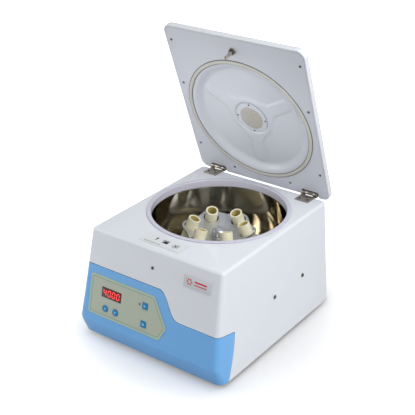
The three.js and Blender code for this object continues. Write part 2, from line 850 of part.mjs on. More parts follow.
/** Room for the hinge knuckles at the lid's rear edge. */
function hingeNotches() {
  const half = KNUCKLE_SPAN / 2 + 1;
  const deep = KNUCKLE_RADIUS + 1.3;
  return [-1, 1].map((side) =>
    block([side * HINGE_X - half, -deep, -3], [side * HINGE_X + half, LID_OVERHANG + 3, deep]),
  );
}

function lidShell() {
  const rounding = [0, 45, 90].map((degrees) => {
    const angle = radians(degrees);
    const z = LID_THICKNESS - LID_EDGE_RADIUS * (1 - Math.sin(angle));
    return lidLevel(z, LID_EDGE_RADIUS * (1 - Math.cos(angle)));
  });
  const outside = loft([lidLevel(0, 0), ...rounding]);
  const inside = loft([
    lidLevel(-2, SHEET),
    lidLevel(LID_THICKNESS - LID_EDGE_RADIUS, SHEET),
    lidLevel(LID_THICKNESS - SHEET, LID_EDGE_RADIUS - 2),
  ]);
  const windowHole = disc(WINDOW_RADIUS + 0.5, 0, 30, 24).translate(0, DISH_Y, 0);
  return cut(outside, [inside, windowHole, ...hingeNotches()]);
}

function lidInnerPanel() {
  const sheet = loft([lidLevel(0, LID_PANEL_INSET), lidLevel(LID_PANEL, LID_PANEL_INSET)]);
  const dishHole = disc(DISH_OUTER + GAP, -5, 5, ROUND).translate(0, DISH_Y, 0);
  return cut(sheet, [dishHole, ...hingeNotches()]);
}

/** The recessed dish in the lid: flange, sloping wall, floor with three ribs and a centre boss. */
function lidDish() {
  const sheet = 2;
  const profile = [
    [WINDOW_RADIUS + 0.5, DISH_DEPTH],
    [36, DISH_DEPTH],
    [37, DISH_DEPTH - 3],
    [42, DISH_DEPTH - 3],
    [43.5, DISH_DEPTH],
    [DISH_FLOOR_RADIUS, DISH_DEPTH],
    [DISH_RIM - 1, 1],
    [DISH_RIM, 0],
    [DISH_OUTER, 0],
    [DISH_OUTER, sheet],
    [DISH_RIM + 1, sheet],
    [DISH_FLOOR_RADIUS + 1, DISH_DEPTH + sheet],
    [WINDOW_RADIUS + 0.5, DISH_DEPTH + sheet],
  ];
  const ribs = [90, 210, 330].map((angle) =>
    block([40, -12.5, DISH_DEPTH - 2], [DISH_FLOOR_RADIUS + 1, 12.5, DISH_DEPTH + 1]).rotateZ(radians(angle)),
  );
  return join(turned(profile, ROUND), ...ribs).translate(0, DISH_Y, 0);
}

function lidSeal() {
  const back = -GAP;
  const profile = [
    [DISH_RIM + 0.5, back],
    [DISH_RIM + 0.5, -1.4],
    [DISH_RIM + 2.5, -2.3],
    [(DISH_RIM + DISH_OUTER) / 2, -2.6],
    [DISH_OUTER - 2.5, -2.3],
    [DISH_OUTER - 0.5, -1.4],
    [DISH_OUTER - 0.5, back],
  ];
  return turned(profile, ROUND).translate(0, DISH_Y, 0);
}

function lidWindow() {
  const face = DISH_DEPTH - GAP;
  const profile = [
    [0, face - 1.6],
    [34, face - 1.6],
    [34, face],
    [WINDOW_RADIUS, face],
    [WINDOW_RADIUS, LID_THICKNESS - 0.2],
    [0, LID_THICKNESS - 0.2],
  ];
  return turned(profile, 24).translate(0, DISH_Y, 0);
}

/** The striker pin points away from the lid's inner face; its neck takes the latch bolt. */
function latchStriker() {
  const neckLow = NECK_FROM_TIP - STRIKER_LENGTH - 2.6;
  const neckHigh = neckLow + 5.2;
  const profile = [
    [0, -STRIKER_LENGTH],
    [1.6, -STRIKER_LENGTH],
    [STRIKER_RADIUS, 3 - STRIKER_LENGTH],
    [STRIKER_RADIUS, neckLow],
    [STRIKER_NECK, neckLow],
    [STRIKER_NECK, neckHigh],
    [STRIKER_RADIUS, neckHigh],
    [STRIKER_RADIUS, -2.3],
    [7, -2.3],
    [7, -GAP],
    [0, -GAP],
  ];
  return turned(profile, 12).translate(0, -STRIKER_REACH, 0);
}

// ------------------------------------------------------------------ hinges, about their own axis

/** Knuckle with its pin hole, between two positions along the axis. */
function knuckle(from, to) {
  return bar(KNUCKLE_RADIUS, from, to, 16);
}

const pinHole = () => bar(2.1, -KNUCKLE_SPAN, KNUCKLE_SPAN, 10);

function bodyLeaf() {
  const half = KNUCKLE_SPAN / 2;
  const inner = CENTRE_KNUCKLE / 2 + 0.4;
  const low = TOP + GAP - HINGE_Z;
  const plate = block([-15, -33, low], [15, -KNUCKLE_RADIUS - 1, low + 1.5]);
  const tongues = [-1, 1].map((side) => {
    const x0 = Math.min(side * inner, side * half);
    return block([x0, -KNUCKLE_RADIUS - 2, low], [x0 + half - inner, -0.5, low + 1.5]);
  });
  return cut(join(plate, ...tongues, knuckle(-half, -inner), knuckle(inner, half)), [pinHole()]);
}

function lidLeaf() {
  const half = CENTRE_KNUCKLE / 2;
  const low = LID_PANEL + GAP;
  const plate = block([-15, -31, low], [15, -KNUCKLE_RADIUS - 2, low + 1.5]);
  const tongue = block([-half, -KNUCKLE_RADIUS - 3, low], [half, -1, low + 1.5]);
  return cut(join(plate, tongue, knuckle(-half, half)), [pinHole()]);
}

function hingePin() {
  return bar(1.8, -KNUCKLE_SPAN / 2 - 1, KNUCKLE_SPAN / 2 + 1, 10);
}

// ------------------------------------------------------------------ latch in the housing

const BOLT_Z = HINGE_Z - STRIKER_LENGTH + NECK_FROM_TIP;
const BOLT_SHEET = 3;
const BOLT_TIP = 5.5; // retracted

function latchBody() {
  const under = TOP - SHEET - GAP;
  const body = block([-12, STRIKER_Y - 10, under - 22], [28, STRIKER_Y + 10, under]);
  const well = disc(5, under - 40, under + 5, 12).translate(0, STRIKER_Y, 0);
  const half = BOLT_SHEET / 2 + 0.5;
  const channel = block(
    [-6, STRIKER_Y - 6.6, BOLT_Z - half],
    [23, STRIKER_Y + 6.6, BOLT_Z + half],
  );
  return cut(body, [well, channel]);
}

function latchBolt() {
  const half = BOLT_SHEET / 2;
  const plate = block(
    [BOLT_TIP, STRIKER_Y - 6, BOLT_Z - half],
    [BOLT_TIP + 16, STRIKER_Y + 6, BOLT_Z + half],
  );
  const mouth = block(
    [BOLT_TIP - 1, STRIKER_Y - 2.2, BOLT_Z - 5],
    [BOLT_TIP + 8, STRIKER_Y + 2.2, BOLT_Z + 5],
  );
  return cut(plate, [mouth]);
}

function topLabel() {
  const sheet = block([-47, -134, TOP + GAP], [43, -103, TOP + GAP + 0.5]);
  const slot = block(
    [-SLOT.width / 2, STRIKER_Y - SLOT.depth / 2, TOP - 5],
    [SLOT.width / 2, STRIKER_Y + SLOT.depth / 2, TOP + 5],
  );
  return cut(sheet, [slot]);
}

// ------------------------------------------------------------------ assembly

addTo(centrifuge, "housing_shell", housingShell(), WHITE_PAINT);
addTo(centrifuge, "front_bezel", frontBezel(), BLUE_PLASTIC);
addTo(centrifuge, "base_plate", basePlate(), BRIGHT_STEEL);
addTo(centrifuge, "top_label", topLabel(), GREY_PLATE);

const FEET = { front_left: [-128, -146], front_right: [128, -146], rear_left: [-128, 164], rear_right: [128, 164] };
for (const [corner, [x, y]] of Object.entries(FEET)) {
  addTo(centrifuge, `foot_${corner}`, foot(), DARK_RUBBER).position.set(x, y, 0);
}

for (const [side, sideName] of [[-1, "left"], [1, "right"]]) {
  SIDE_SCREWS.forEach(({ y, z }, i) => {
    const place = sidePlace(side, y, z);
    centrifuge.add(place);
    const head = screw(4, 1.8, SIDE_SCREW_RADIUS, 6);
    addTo(place, `side_screw_${sideName}_${["rear", "front"][i]}`, head, BRIGHT_STEEL).position.z = GAP;
  });
}

addTo(face, "control_overlay", controlOverlay(), OVERLAY_FILM);
addTo(face, "display_window", displayWindow(), DISPLAY_RED);
addTo(face, "status_light", statusLight(), STATUS_GREEN);
addTo(face, "control_board", controlBoard(), BOARD_GREEN);
addTo(face, "rating_plate", ratingPlate(), GREY_PLATE);
for (const key of KEYS) {
  addTo(face, key.name, keyCap(key), KEY_BLUE);
}
const frontScrew = addTo(face, "front_screw", screw(3, 1.4, 1.6, 6), BRIGHT_STEEL);
frontScrew.position.set(0, -GAP, upSlope(FRONT_SCREW_HEIGHT));
frontScrew.rotation.x = Math.PI / 2;

addTo(centrifuge, "rear_panel", rearPanel(), GREY_PLATE);
addTo(centrifuge, "power_inlet", powerInlet(), DARK_PLASTIC);
addTo(centrifuge, "power_switch_frame", switchFrame(), DARK_PLASTIC);
addTo(centrifuge, "fuse_holder", fuseHolder(), DARK_PLASTIC);
const ROCKER_TILT = 9;
const rocker = addTo(centrifuge, "power_switch_rocker", switchRocker(), DARK_PLASTIC);
rocker.position.set(SWITCH.x, REAR_FACE, SWITCH.z);
rocker.rotation.x = radians(ROCKER_TILT);

addTo(spindle, "chamber_rim", chamberRim(), LID_PAINT);
addTo(spindle, "chamber_bowl", chamberBowl(), STAINLESS);
addTo(spindle, "chamber_boot", chamberBoot(), DARK_RUBBER);
addTo(spindle, "drive_motor", motor(), DARK_PLASTIC);
addTo(spindle, "motor_mount", motorMount(), BRIGHT_STEEL);
[90, 210, 330].forEach((angle, i) => {
  const reach = 64;
  const x = reach * Math.cos(radians(angle));
  const y = reach * Math.sin(radians(angle));
  addTo(spindle, `motor_damper_${i + 1}`, damper(), DARK_RUBBER).position.set(x, y, 0);
});
addTo(centrifuge, "power_supply", powerSupply(), BRIGHT_STEEL);

addTo(spindle, "motor_shaft", motorShaft(), BRIGHT_STEEL);
addTo(spindle, "rotor", rotorBody(), CAST_ALUMINIUM);
addTo(spindle, "rotor_nut", rotorNut(), BRIGHT_STEEL);
placeAngles.forEach((angle, i) => {
  const place = new THREE.Group();
  place.rotation.z = radians(angle);
  spindle.add(place);
  const sleeve = addTo(place, `tube_sleeve_${i + 1}`, tubeSleeve(), CREAM_PLASTIC);
  sleeve.position.set(MOUTH_RADIUS, 0, MOUTH_HEIGHT);
  sleeve.rotation.y = -radians(TUBE_ANGLE);
});

addTo(centrifuge, "latch_body", latchBody(), DARK_PLASTIC);
addTo(centrifuge, "latch_bolt", latchBolt(), BRIGHT_STEEL);

addTo(lid, "lid_shell", lidShell(), WHITE_PAINT);
addTo(lid, "lid_inner_panel", lidInnerPanel(), LID_PAINT);
addTo(lid, "lid_dish", lidDish(), LID_PAINT);
addTo(lid, "lid_seal", lidSeal(), CREAM_PLASTIC);
addTo(lid, "lid_window", lidWindow(), CLEAR_PLASTIC);
addTo(lid, "latch_striker", latchStriker(), BRIGHT_STEEL);

for (const [side, sideName] of [[-1, "left"], [1, "right"]]) {
  const onBody = addTo(centrifuge, `hinge_${sideName}_body_leaf`, bodyLeaf(), BRIGHT_STEEL);
  onBody.position.set(side * HINGE_X, HINGE_Y, HINGE_Z);
  const pin = addTo(centrifuge, `hinge_${sideName}_pin`, hingePin(), BRIGHT_STEEL);
  pin.position.copy(onBody.position);
  addTo(lid, `hinge_${sideName}_lid_leaf`, lidLeaf(), BRIGHT_STEEL).position.x = side * HINGE_X;
}

export default centrifuge;
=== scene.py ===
"""Looks of a bench-top laboratory centrifuge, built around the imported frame.

Lengths are in millimetres in the row frame, unless named otherwise; meshes hold metres.
"""

import json
from math import atan, cos, hypot, pi, radians, sin, tan

import bmesh
import bpy
from mathutils import Matrix, Vector


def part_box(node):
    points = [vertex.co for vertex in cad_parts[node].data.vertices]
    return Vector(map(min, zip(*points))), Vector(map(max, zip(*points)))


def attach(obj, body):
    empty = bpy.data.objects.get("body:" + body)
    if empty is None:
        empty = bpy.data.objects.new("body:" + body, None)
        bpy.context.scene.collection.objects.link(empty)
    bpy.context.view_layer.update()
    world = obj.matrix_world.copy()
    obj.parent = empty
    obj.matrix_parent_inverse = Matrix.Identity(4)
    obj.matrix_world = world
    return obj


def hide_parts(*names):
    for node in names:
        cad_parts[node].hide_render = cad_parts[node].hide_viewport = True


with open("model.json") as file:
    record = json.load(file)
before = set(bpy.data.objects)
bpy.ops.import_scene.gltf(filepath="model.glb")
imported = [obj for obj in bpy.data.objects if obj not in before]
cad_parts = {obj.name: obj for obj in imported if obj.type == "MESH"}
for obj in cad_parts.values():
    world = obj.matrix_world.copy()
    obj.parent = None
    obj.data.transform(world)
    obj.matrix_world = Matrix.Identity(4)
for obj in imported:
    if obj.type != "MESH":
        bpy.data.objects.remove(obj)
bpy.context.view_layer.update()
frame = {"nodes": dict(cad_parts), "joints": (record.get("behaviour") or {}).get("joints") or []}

MM = 0.001
JOINTS = {joint["name"]: joint for joint in frame["joints"]}

# -------- driving dimensions, mm

# housing: it narrows upwards, its front leans back, and a set-back toe runs along its foot
SHEET = 2.5
FOOT_HEIGHT = 8.0
TOP = 218.0
BODY_DEPTH = 384.0
BASE_WIDTH = 324.0
TOP_WIDTH = 294.7
SETBACK = 45.5
TOP_EDGE_RADIUS = 5.5
TOE_TOP = 44.0
TOE_SETBACK = 20.0
BACK_CORNER = 9.0
FRONT_CORNER_TOE = 17.0
FRONT_CORNER_LOW = 11.0
FRONT_CORNER_TOP = 7.0
CORNER_CHANGE = 100.0  # height where the front corners begin to tighten
SEAM_HIGH = 151.3
SEAM_LOW = 103.3
SEAM_SHADOW = 1.2  # width of the dark seam over the bezel
GAP = 0.3  # air between pieces that lie against each other
LEAN = atan(SETBACK / (TOP - FOOT_HEIGHT))
SIDE_LEAN = atan((BASE_WIDTH - TOP_WIDTH) / 2 / (TOP - FOOT_HEIGHT))
BACK = BODY_DEPTH / 2

# lid: in its own frame the hinge axis is X, the lid lies towards -Y and its outside is up
HINGE = Vector(JOINTS["lid_hinge"]["pos_m"]) / MM
LID_OPEN = radians(-JOINTS["lid_hinge"]["range_deg"][0])
HINGE_Y = 195.2
HINGE_X = 108.5  # from the middle to each hinge
MIDDLE_Y = HINGE.y - HINGE_Y
CHAMBER_Y = JOINTS["rotor_spin"]["pos_m"][1] / MM - MIDDLE_Y
DISH_Y = CHAMBER_Y - HINGE_Y
LID_WIDTH = 305.0
LID_LENGTH = 339.8
LID_THICKNESS = 15.8
LID_CORNER = 16.0
LID_EDGE = 8.0
LID_OVERHANG = 8.0
STRIKER_REACH = 311.0
STRIKER_Y = HINGE_Y - STRIKER_REACH
DISH_RADIUS = 137.0
DISH_HOLE = 21.5
DISH_BACK = 12.5

# chamber and rotor
CHAMBER_RADIUS = 128.5
TOP_HOLE_RADIUS = 133.5
RIM_RADIUS = 136.5
BOWL_FLANGE = 137.5
CHAMBER_FLOOR = 78.0
BOWL_TOP = 204.7
TUBE_ANGLE = radians(22)
MOUTH_RADIUS = 47.0
MOUTH_HEIGHT = 193.0
SLEEVE_LENGTH = 110.0
SLEEVE_RADIUS = 12.0
SLEEVE_BORE = 9.0
FIRST_PLACE = 22
PLACE_ANGLES = [radians(FIRST_PLACE + 60 * i) for i in range(6)]


# -------- placing


def move(x, y, z):
    return Matrix.Translation((x, y, z))


def rotate(angle, axis):
    return Matrix.Rotation(angle, 4, axis)


HOUSING = move(0, MIDDLE_Y, 0)
FACE = HOUSING @ move(0, -BACK, FOOT_HEIGHT) @ rotate(-LEAN, "X")
LID = move(*HINGE) @ rotate(-LID_OPEN, "X")
LID_CENTRE = LID @ move(0, DISH_Y, 0)
SPINDLE = HOUSING @ move(0, CHAMBER_Y, 0)


def up_slope(height):
    """Distance up the leaning front for a height above the table."""
    return (height - FOOT_HEIGHT) / cos(LEAN)


def polar(radius, angle):
    return radius * cos(angle), radius * sin(angle)


def lerp(a, b, t):
    return a + (b - a) * t


def smooth(t):
    t = min(1.0, max(0.0, t))
    return t * t * (3 - 2 * t)


# -------- mesh helpers


def new_object(name, data):
    obj = bpy.data.objects.new(name, data)
    bpy.context.scene.collection.objects.link(obj)
    return obj


def mesh_object(name, points, faces, matrix):
    mesh = bpy.data.meshes.new(name)
    mesh.from_pydata([Vector(p) * MM for p in points], [], faces)
    mesh.validate()
    placed = matrix.copy()
    placed.translation *= MM
    obj = new_object(name, mesh)
    obj.matrix_world = placed
    return obj


def bands(rings, count, closed=False):
    """Four-sided faces between each ring of `count` points and the next."""
    faces = []
    for ring in range(rings if closed else rings - 1):
        low, high = ring * count, (ring + 1) % rings * count
        for k in range(count):
            n = (k + 1) % count
            faces.append([low + k, low + n, high + n, high + k])
    return faces


def outward(obj):
    """Welds doubled points and turns every face out."""
    mesh = bmesh.new()
    mesh.from_mesh(obj.data)
    bmesh.ops.remove_doubles(mesh, verts=mesh.verts, dist=1e-7)
    bmesh.ops.recalc_face_normals(mesh, faces=mesh.faces)
    mesh.to_mesh(obj.data)
    mesh.free()
    return obj


def modify(obj, kind, **settings):
    modifier = obj.modifiers.new(kind.lower(), kind)
    for name, value in settings.items():
        setattr(modifier, name, value)


def apply_modifiers(obj):
    bpy.context.view_layer.update()
    graph = bpy.context.evaluated_depsgraph_get()
    mesh = bpy.data.meshes.new_from_object(obj.evaluated_get(graph))
    obj.modifiers.clear()
    obj.data = mesh
    return obj


def boolean(obj, cutters, operation="DIFFERENCE"):
    """Applies boolean cutters and deletes them."""
    for cutter in cutters:
        modify(obj, "BOOLEAN", object=cutter, operation=operation, solver="EXACT")
        apply_modifiers(obj)
        bpy.data.objects.remove(cutter)
    return obj


def ease_edges(obj, width, segments, angle):
    modify(obj, "BEVEL", width=width * MM, segments=segments, limit_method="ANGLE",
           angle_limit=radians(angle))


def bevel(obj, width, segments=2, angle=35):
    ease_edges(obj, width, segments, angle)
    return apply_modifiers(obj)


def shade(obj, angle=35, weighted=False):
    """Smooth shading that keeps edges sharper than the angle."""
    obj.data.shade_smooth()
    obj.data.set_sharp_from_angle(angle=radians(angle))
    if weighted:
        modify(obj, "WEIGHTED_NORMAL", keep_sharp=True, weight=100)
    return obj


def piece(obj, body, material, replaces=()):
    """Finishes a visible piece: material, body and the CAD nodes it stands for."""
    obj.data.materials.clear()
    obj.data.materials.append(material)
    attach(obj, body)
    if replaces:
        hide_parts(*replaces)


def eased(points, ease, steps=4, closed=True):
    """Rounds each corner of a polyline with a quadratic curve that starts `ease` from it."""
    points = [Vector(p) for p in points]
    count = len(points)
    result = []
    for i, corner in enumerate(points):
        if not closed and i in (0, count - 1):
            result.append(corner)
            continue
        before = points[i - 1] - corner
        after = points[(i + 1) % count] - corner
        enter = corner + before.normalized() * min(ease, before.length * 0.45)
        leave = corner + after.normalized() * min(ease, after.length * 0.45)
        for k in range(steps + 1):
            t = k / steps
            result.append(enter * (1 - t) ** 2 + corner * 2 * t * (1 - t) + leave * t * t)
    return result


def lathe(name, profile, matrix=SPINDLE, segments=96, ease=0.5, steps=3):
    """A closed solid of revolution about +Z; the profile runs from axis to axis or round a ring."""
    ring = profile[0][0] > 0
    outline = eased(profile, ease, steps, closed=ring)
    points = [(*polar(r, 2 * pi * k / segments), z) for r, z in outline for k in range(segments)]
    return shade(outward(mesh_object(name, points, bands(len(outline), segments, ring), matrix)))


def prism(name, outline, low, high, matrix=HOUSING, axis="Y"):
    """A closed outline extruded along an axis: drawn in X-Z for Y, in Y-Z for X, in X-Y for Z."""
    order = {"X": (2, 0, 1), "Y": (0, 2, 1), "Z": (0, 1, 2)}[axis]
    points = [[(a, b, h)[i] for i in order] for h in (low, high) for a, b in outline]
    count = len(outline)
    faces = [list(range(count)), list(range(2 * count - 1, count - 1, -1))] + bands(2, count)
    return outward(mesh_object(name, points, faces, matrix))


def rod(radius, low, high, matrix, axis="Z", sides=20):
    """A cylinder on an axis of its frame, for cutting or joining."""
    return prism("rod", circle(0, 0, radius, sides), low, high, matrix, axis)


def block(name, low, high, matrix):
    (x0, y0, z0), (x1, y1, z1) = low, high
    return prism(name, [(x0, y0), (x1, y0), (x1, y1), (x0, y1)], z0, z1, matrix, "Z")


def rectangle(x, z, width, height, ease=1.0):
    w, h = width / 2, height / 2
    corners = [(x - w, z - h), (x + w, z - h), (x + w, z + h), (x - w, z + h)]
    return eased(corners, ease)


def circle(x, z, radius, count):
    ring = [polar(radius, 2 * pi * k / count) for k in range(count)]
    return [(x + across, z + up) for across, up in ring]


def inset_polygon(points, distance):
    """Moves every edge of a convex anticlockwise polygon inwards."""
    edges = []
    for a, b in zip(points, points[1:] + points[:1]):
        along = (Vector(b) - Vector(a)).normalized()
        edges.append((Vector(a) + along.orthogonal() * distance, along))
    result = []
    for (p, d), (q, e) in zip(edges[-1:] + edges[:-1], edges):
        result.append(p + d * ((q - p).cross(e) / d.cross(e)))
    return result


def rounded_level(level, segments=10):
    """Outline of a rectangle whose front and back corners have their own radius."""
    z, left, right, front, back, front_radius, back_radius = level
    corners = [
        (right - front_radius, front + front_radius, front_radius, 270),
        (right - back_radius, back - back_radius, back_radius, 0),
        (left + back_radius, back - back_radius, back_radius, 90),
        (left + front_radius, front + front_radius, front_radius, 180),
    ]
    points = []
    for x, y, radius, start in corners:
        for k in range(segments + 1):
            across, along = polar(radius, radians(start + 90 * k / segments))
            points.append((x + across, y + along, z))
    return points


def loft(name, levels, matrix=HOUSING):
    rings = [rounded_level(level) for level in levels]
    count = len(rings[0])
    points = [p for ring in rings for p in ring]
    ends = [list(range(count)), list(range(len(points) - count, len(points)))]
    return outward(mesh_object(name, points, ends + bands(len(rings), count), matrix))


# -------- materials


def srgb(*levels):
    """A linear colour from display levels of 0 to 255."""
    shares = [level / 255 for level in levels]
    return [s / 12.92 if s <= 0.04045 else ((s + 0.055) / 1.055) ** 2.4 for s in shares] + [1]


def feed(tree, node, inputs):
    """Sets a node's inputs; an input given as a socket is linked."""
    for key, value in inputs.items():
        if isinstance(value, bpy.types.NodeSocket):
            tree.links.new(value, node.inputs[key])
        else:
            node.inputs[key].default_value = value


def add_node(tree, kind, inputs=None, **settings):
    node = tree.nodes.new("ShaderNode" + kind)
    for name, value in settings.items():
        setattr(node, name, value)
    feed(tree, node, inputs or {})
    return node


ROUGHNESS_SPREAD = 0.06
COAT_ROUGHNESS = 0.15
EDGE_FROM, EDGE_TO = 0.53, 0.62  # pointiness where the paler edge begins and where it is full
EDGE_PALER = 0.45


def surface(name, color, roughness, metallic=0.0, mottle=0.05, patch=25.0, grain=1.0, depth=0.01,
            stretch=(1, 1, 1), coat=0.0, edge_paling=0.0):
    """A finish with broad tone changes, fine grain in the surface and paler sharp edges, found by their
    pointiness.

    patch and grain are the sizes of the tone changes and of the grain, and depth is the grain's
    depth, all in mm.
    """
    material = bpy.data.materials.new(name)
    material.use_nodes = True
    tree = material.node_tree
    coordinates = add_node(tree, "TexCoord")
    mapping = add_node(tree, "Mapping", {"Vector": coordinates.outputs["Object"], "Scale": stretch})

    def noise(size, detail):
        inputs = {"Vector": mapping.outputs["Vector"], "Scale": 1 / (size * MM), "Detail": detail}
        return add_node(tree, "TexNoise", inputs).outputs["Fac"]

    def tint(change):
        return [min(1, c * (1 + change)) for c in color[:3]] + [1]

    tones = {"Fac": noise(patch, 3), "Color1": tint(-mottle), "Color2": tint(mottle)}
    tone = add_node(tree, "MixRGB", tones).outputs["Color"]
    # sharp convex edges, found by their pointiness, are mixed towards white
    if edge_paling:
        pointiness = add_node(tree, "NewGeometry").outputs["Pointiness"]
        edge = add_node(tree, "MapRange", {"Value": pointiness, "From Min": EDGE_FROM,
                                           "From Max": EDGE_TO, "To Max": edge_paling})
        paled = [lerp(c, 1.0, EDGE_PALER) for c in color[:3]] + [1]
        tones = {"Fac": edge.outputs["Result"], "Color1": tone, "Color2": paled}
        tone = add_node(tree, "MixRGB", tones).outputs["Color"]
    fine = noise(grain, 4)
    gloss = add_node(tree, "MapRange", {"Value": fine, "To Min": max(0.02, roughness - ROUGHNESS_SPREAD),
                                        "To Max": min(1.0, roughness + ROUGHNESS_SPREAD)})
    bump = add_node(tree, "Bump", {"Height": fine, "Strength": 0.6, "Distance": depth * MM})
    feed(tree, tree.nodes["Principled BSDF"], {
        "Base Color": tone,
        "Roughness": gloss.outputs["Result"],
        "Metallic": metallic,
        "Normal": bump.outputs["Normal"],
        "Coat Weight": coat,
        "Coat Roughness": COAT_ROUGHNESS,
    })
    return material


def turned_steel(name, color, roughness, scratch):
    """Polished sheet with fine scratches that run round the Z axis; scratch is their depth in mm."""
    material = surface(name, color, roughness, metallic=1.0, mottle=0.25, patch=24, grain=0.6)
    tree = material.node_tree
    coordinates = add_node(tree, "TexCoord")
    split = add_node(tree, "SeparateXYZ", {"Vector": coordinates.outputs["Object"]})
    flat = add_node(tree, "CombineXYZ", {"X": split.outputs["X"], "Y": split.outputs["Y"]})
    radius = add_node(tree, "VectorMath", {0: flat.outputs["Vector"]}, operation="LENGTH")
    polar = add_node(tree, "CombineXYZ", {"X": radius.outputs["Value"], "Y": split.outputs["Z"]})
    rings = add_node(tree, "TexNoise", {"Vector": polar.outputs["Vector"], "Scale": 900, "Detail": 5})
    feed(tree, tree.nodes["Bump"], {"Height": rings.outputs["Fac"], "Distance": scratch * MM})
    return material


def glowing(name, color, strength):
    material = surface(name, color, 0.3, mottle=0.03, patch=4, grain=0.5, depth=0.02)
    tree = material.node_tree
    feed(tree, tree.nodes["Principled BSDF"], {"Emission Color": color, "Emission Strength": strength})
    return material


WHITE = surface("powder_coat_white", srgb(214, 218, 223), 0.42, mottle=0.012, patch=120, grain=1.3,
                depth=0.012, coat=0.15, edge_paling=0.25)
LID_GREY = surface("lid_panel_paint", srgb(198, 201, 209), 0.38, mottle=0.015, patch=90, grain=1.2,
                   depth=0.012, coat=0.15)
DISH_WHITE = surface("dish_plastic", srgb(200, 204, 212), 0.25, mottle=0.015, patch=60, grain=2.0,
                     coat=0.25)
RIM_WHITE = surface("rim_plastic", srgb(196, 195, 208), 0.3, mottle=0.015, patch=40, grain=0.9,
                    depth=0.008, coat=0.2)
BLUE = surface("moulded_blue", srgb(106, 169, 224), 0.4, mottle=0.02, patch=60, grain=0.8,
               depth=0.015, coat=0.1, edge_paling=0.2)
OVERLAY = surface("overlay_film", srgb(172, 180, 164), 0.42, mottle=0.02, patch=20, grain=0.35,
                  depth=0.008)
OVERLAY_EDGE = surface("overlay_pale_border", srgb(166, 188, 170), 0.42, mottle=0.02, patch=20,
                       grain=0.35, depth=0.008)
OVERLAY_LINE = surface("overlay_green_line", srgb(112, 140, 116), 0.45, mottle=0.03, patch=8,
                       grain=0.35, depth=0.005)
KEY_BLUE = surface("key_blue", srgb(10, 122, 172), 0.4, mottle=0.04, patch=5, grain=0.4, edge_paling=0.2)
KEY_MARK = surface("key_mark", srgb(128, 184, 214), 0.45, mottle=0.02, patch=3, grain=0.3, depth=0.004)
DISPLAY_DARK = surface("display_dark", srgb(70, 26, 28), 0.12, mottle=0.08, patch=6, grain=0.5,
                       depth=0.002, coat=0.6)
DIGIT_RED = glowing("digit_red", srgb(255, 52, 48), 1.1)
LED_GREEN = surface("led_green", srgb(96, 122, 92), 0.2, patch=2, grain=0.3, depth=0.002, coat=0.5)
PLATE_GREY = surface("plate_grey", srgb(196, 199, 202), 0.35, mottle=0.02, patch=12, grain=0.4,
                     depth=0.006)
MARK_RED = surface("mark_red", srgb(196, 44, 58), 0.4, mottle=0.03, patch=5, grain=0.3, depth=0.004)
MARK_DARK = surface("mark_dark", srgb(62, 66, 62), 0.5, patch=3, grain=0.3, depth=0.004)
LABEL_WHITE = surface("label_film", srgb(210, 213, 215), 0.35, mottle=0.015, patch=20, grain=0.4,
                      depth=0.004)
CREAM = surface("cream_plastic", srgb(226, 221, 192), 0.45, patch=12, grain=0.6, depth=0.02, coat=0.05)
# painted shade: a darker, yellower cream for the shade inside the sleeves' bores
BORE_SHADE = surface("sleeve_bore_painted_shade", srgb(186, 170, 106), 0.55, mottle=0.08, patch=10, grain=0.6,
                     depth=0.02)
SEAL_CREAM = surface("seal_rubber", srgb(190, 190, 182), 0.5, mottle=0.03, grain=0.7, depth=0.015)
# painted shade: a dark colour for the shadow in the gaps on each side of the lid's seal
SEAL_GAP_PAINTED_SHADE = surface("seal_gap_painted_shade", srgb(104, 102, 97), 0.7, mottle=0.1, patch=12, grain=0.5)
MIRROR_STEEL = turned_steel("polished_bowl", srgb(198, 192, 178), 0.08, scratch=0.03)
BRIGHT_STEEL = surface("bright_steel", srgb(176, 170, 160), 0.28, metallic=1.0, mottle=0.08,
                       patch=6, grain=0.4, stretch=(1, 6, 6))
DARK_STEEL = surface("dark_steel", srgb(104, 99, 92), 0.4, metallic=1.0, mottle=0.12, patch=3, grain=0.3)
ALUMINIUM = surface("cast_aluminium", srgb(206, 208, 210), 0.34, metallic=0.85, mottle=0.04,
                    patch=14, grain=0.5, depth=0.012)
RUBBER = surface("dark_rubber", srgb(40, 41, 44), 0.8, mottle=0.1, patch=5, grain=0.5, depth=0.03)
BLACK = surface("black_plastic", srgb(38, 39, 43), 0.42, mottle=0.06, patch=8, grain=0.4,
                depth=0.015, edge_paling=0.2)
MOTOR_PAINT = surface("motor_paint", srgb(58, 60, 64), 0.45, mottle=0.06, patch=20, grain=0.8, depth=0.02)
BOARD = surface("board_green", srgb(40, 104, 62), 0.35, mottle=0.08, patch=6, grain=0.3)
LENS = surface("window_lens", srgb(178, 176, 168), 0.22, mottle=0.5, patch=2.5, grain=1.2,
               depth=0.03, coat=0.5)


# -------- housing and bezel


def rise(z):
    return (z - FOOT_HEIGHT) / (TOP - FOOT_HEIGHT)


def half_width(z):
    return lerp(BASE_WIDTH / 2, TOP_WIDTH / 2, rise(z))


def toe_part(z):
    """How far along the toe a height lies: 0 above it, 1 at the bottom edge."""
    return min(1, max(0, (TOE_TOP - z) / (TOE_TOP - FOOT_HEIGHT)))


def toe(z):
    """Setback of the toe, with a soft crease at its top."""
    return TOE_SETBACK * (1.12 * toe_part(z) ** 1.3 - 0.12 * toe_part(z) ** 3)


def body_level(z, inset):
    """The housing's section at a height, as rounded_level takes it."""
    upper = max(0, (z - CORNER_CHANGE) / (TOP - CORNER_CHANGE))
    half = half_width(z) - inset
    front = SETBACK * rise(z) - BACK + toe(z) + inset
    corner = lerp(FRONT_CORNER_LOW, FRONT_CORNER_TOE, toe_part(z))
    front_radius = max(0.8, lerp(corner, FRONT_CORNER_TOP, upper) - inset)
    return (z, -half, half, front, BACK - inset, front_radius, max(0.8, BACK_CORNER - inset))


TOE_HEIGHTS = [lerp(FOOT_HEIGHT, TOE_TOP, part / 12) for part in range(13)]


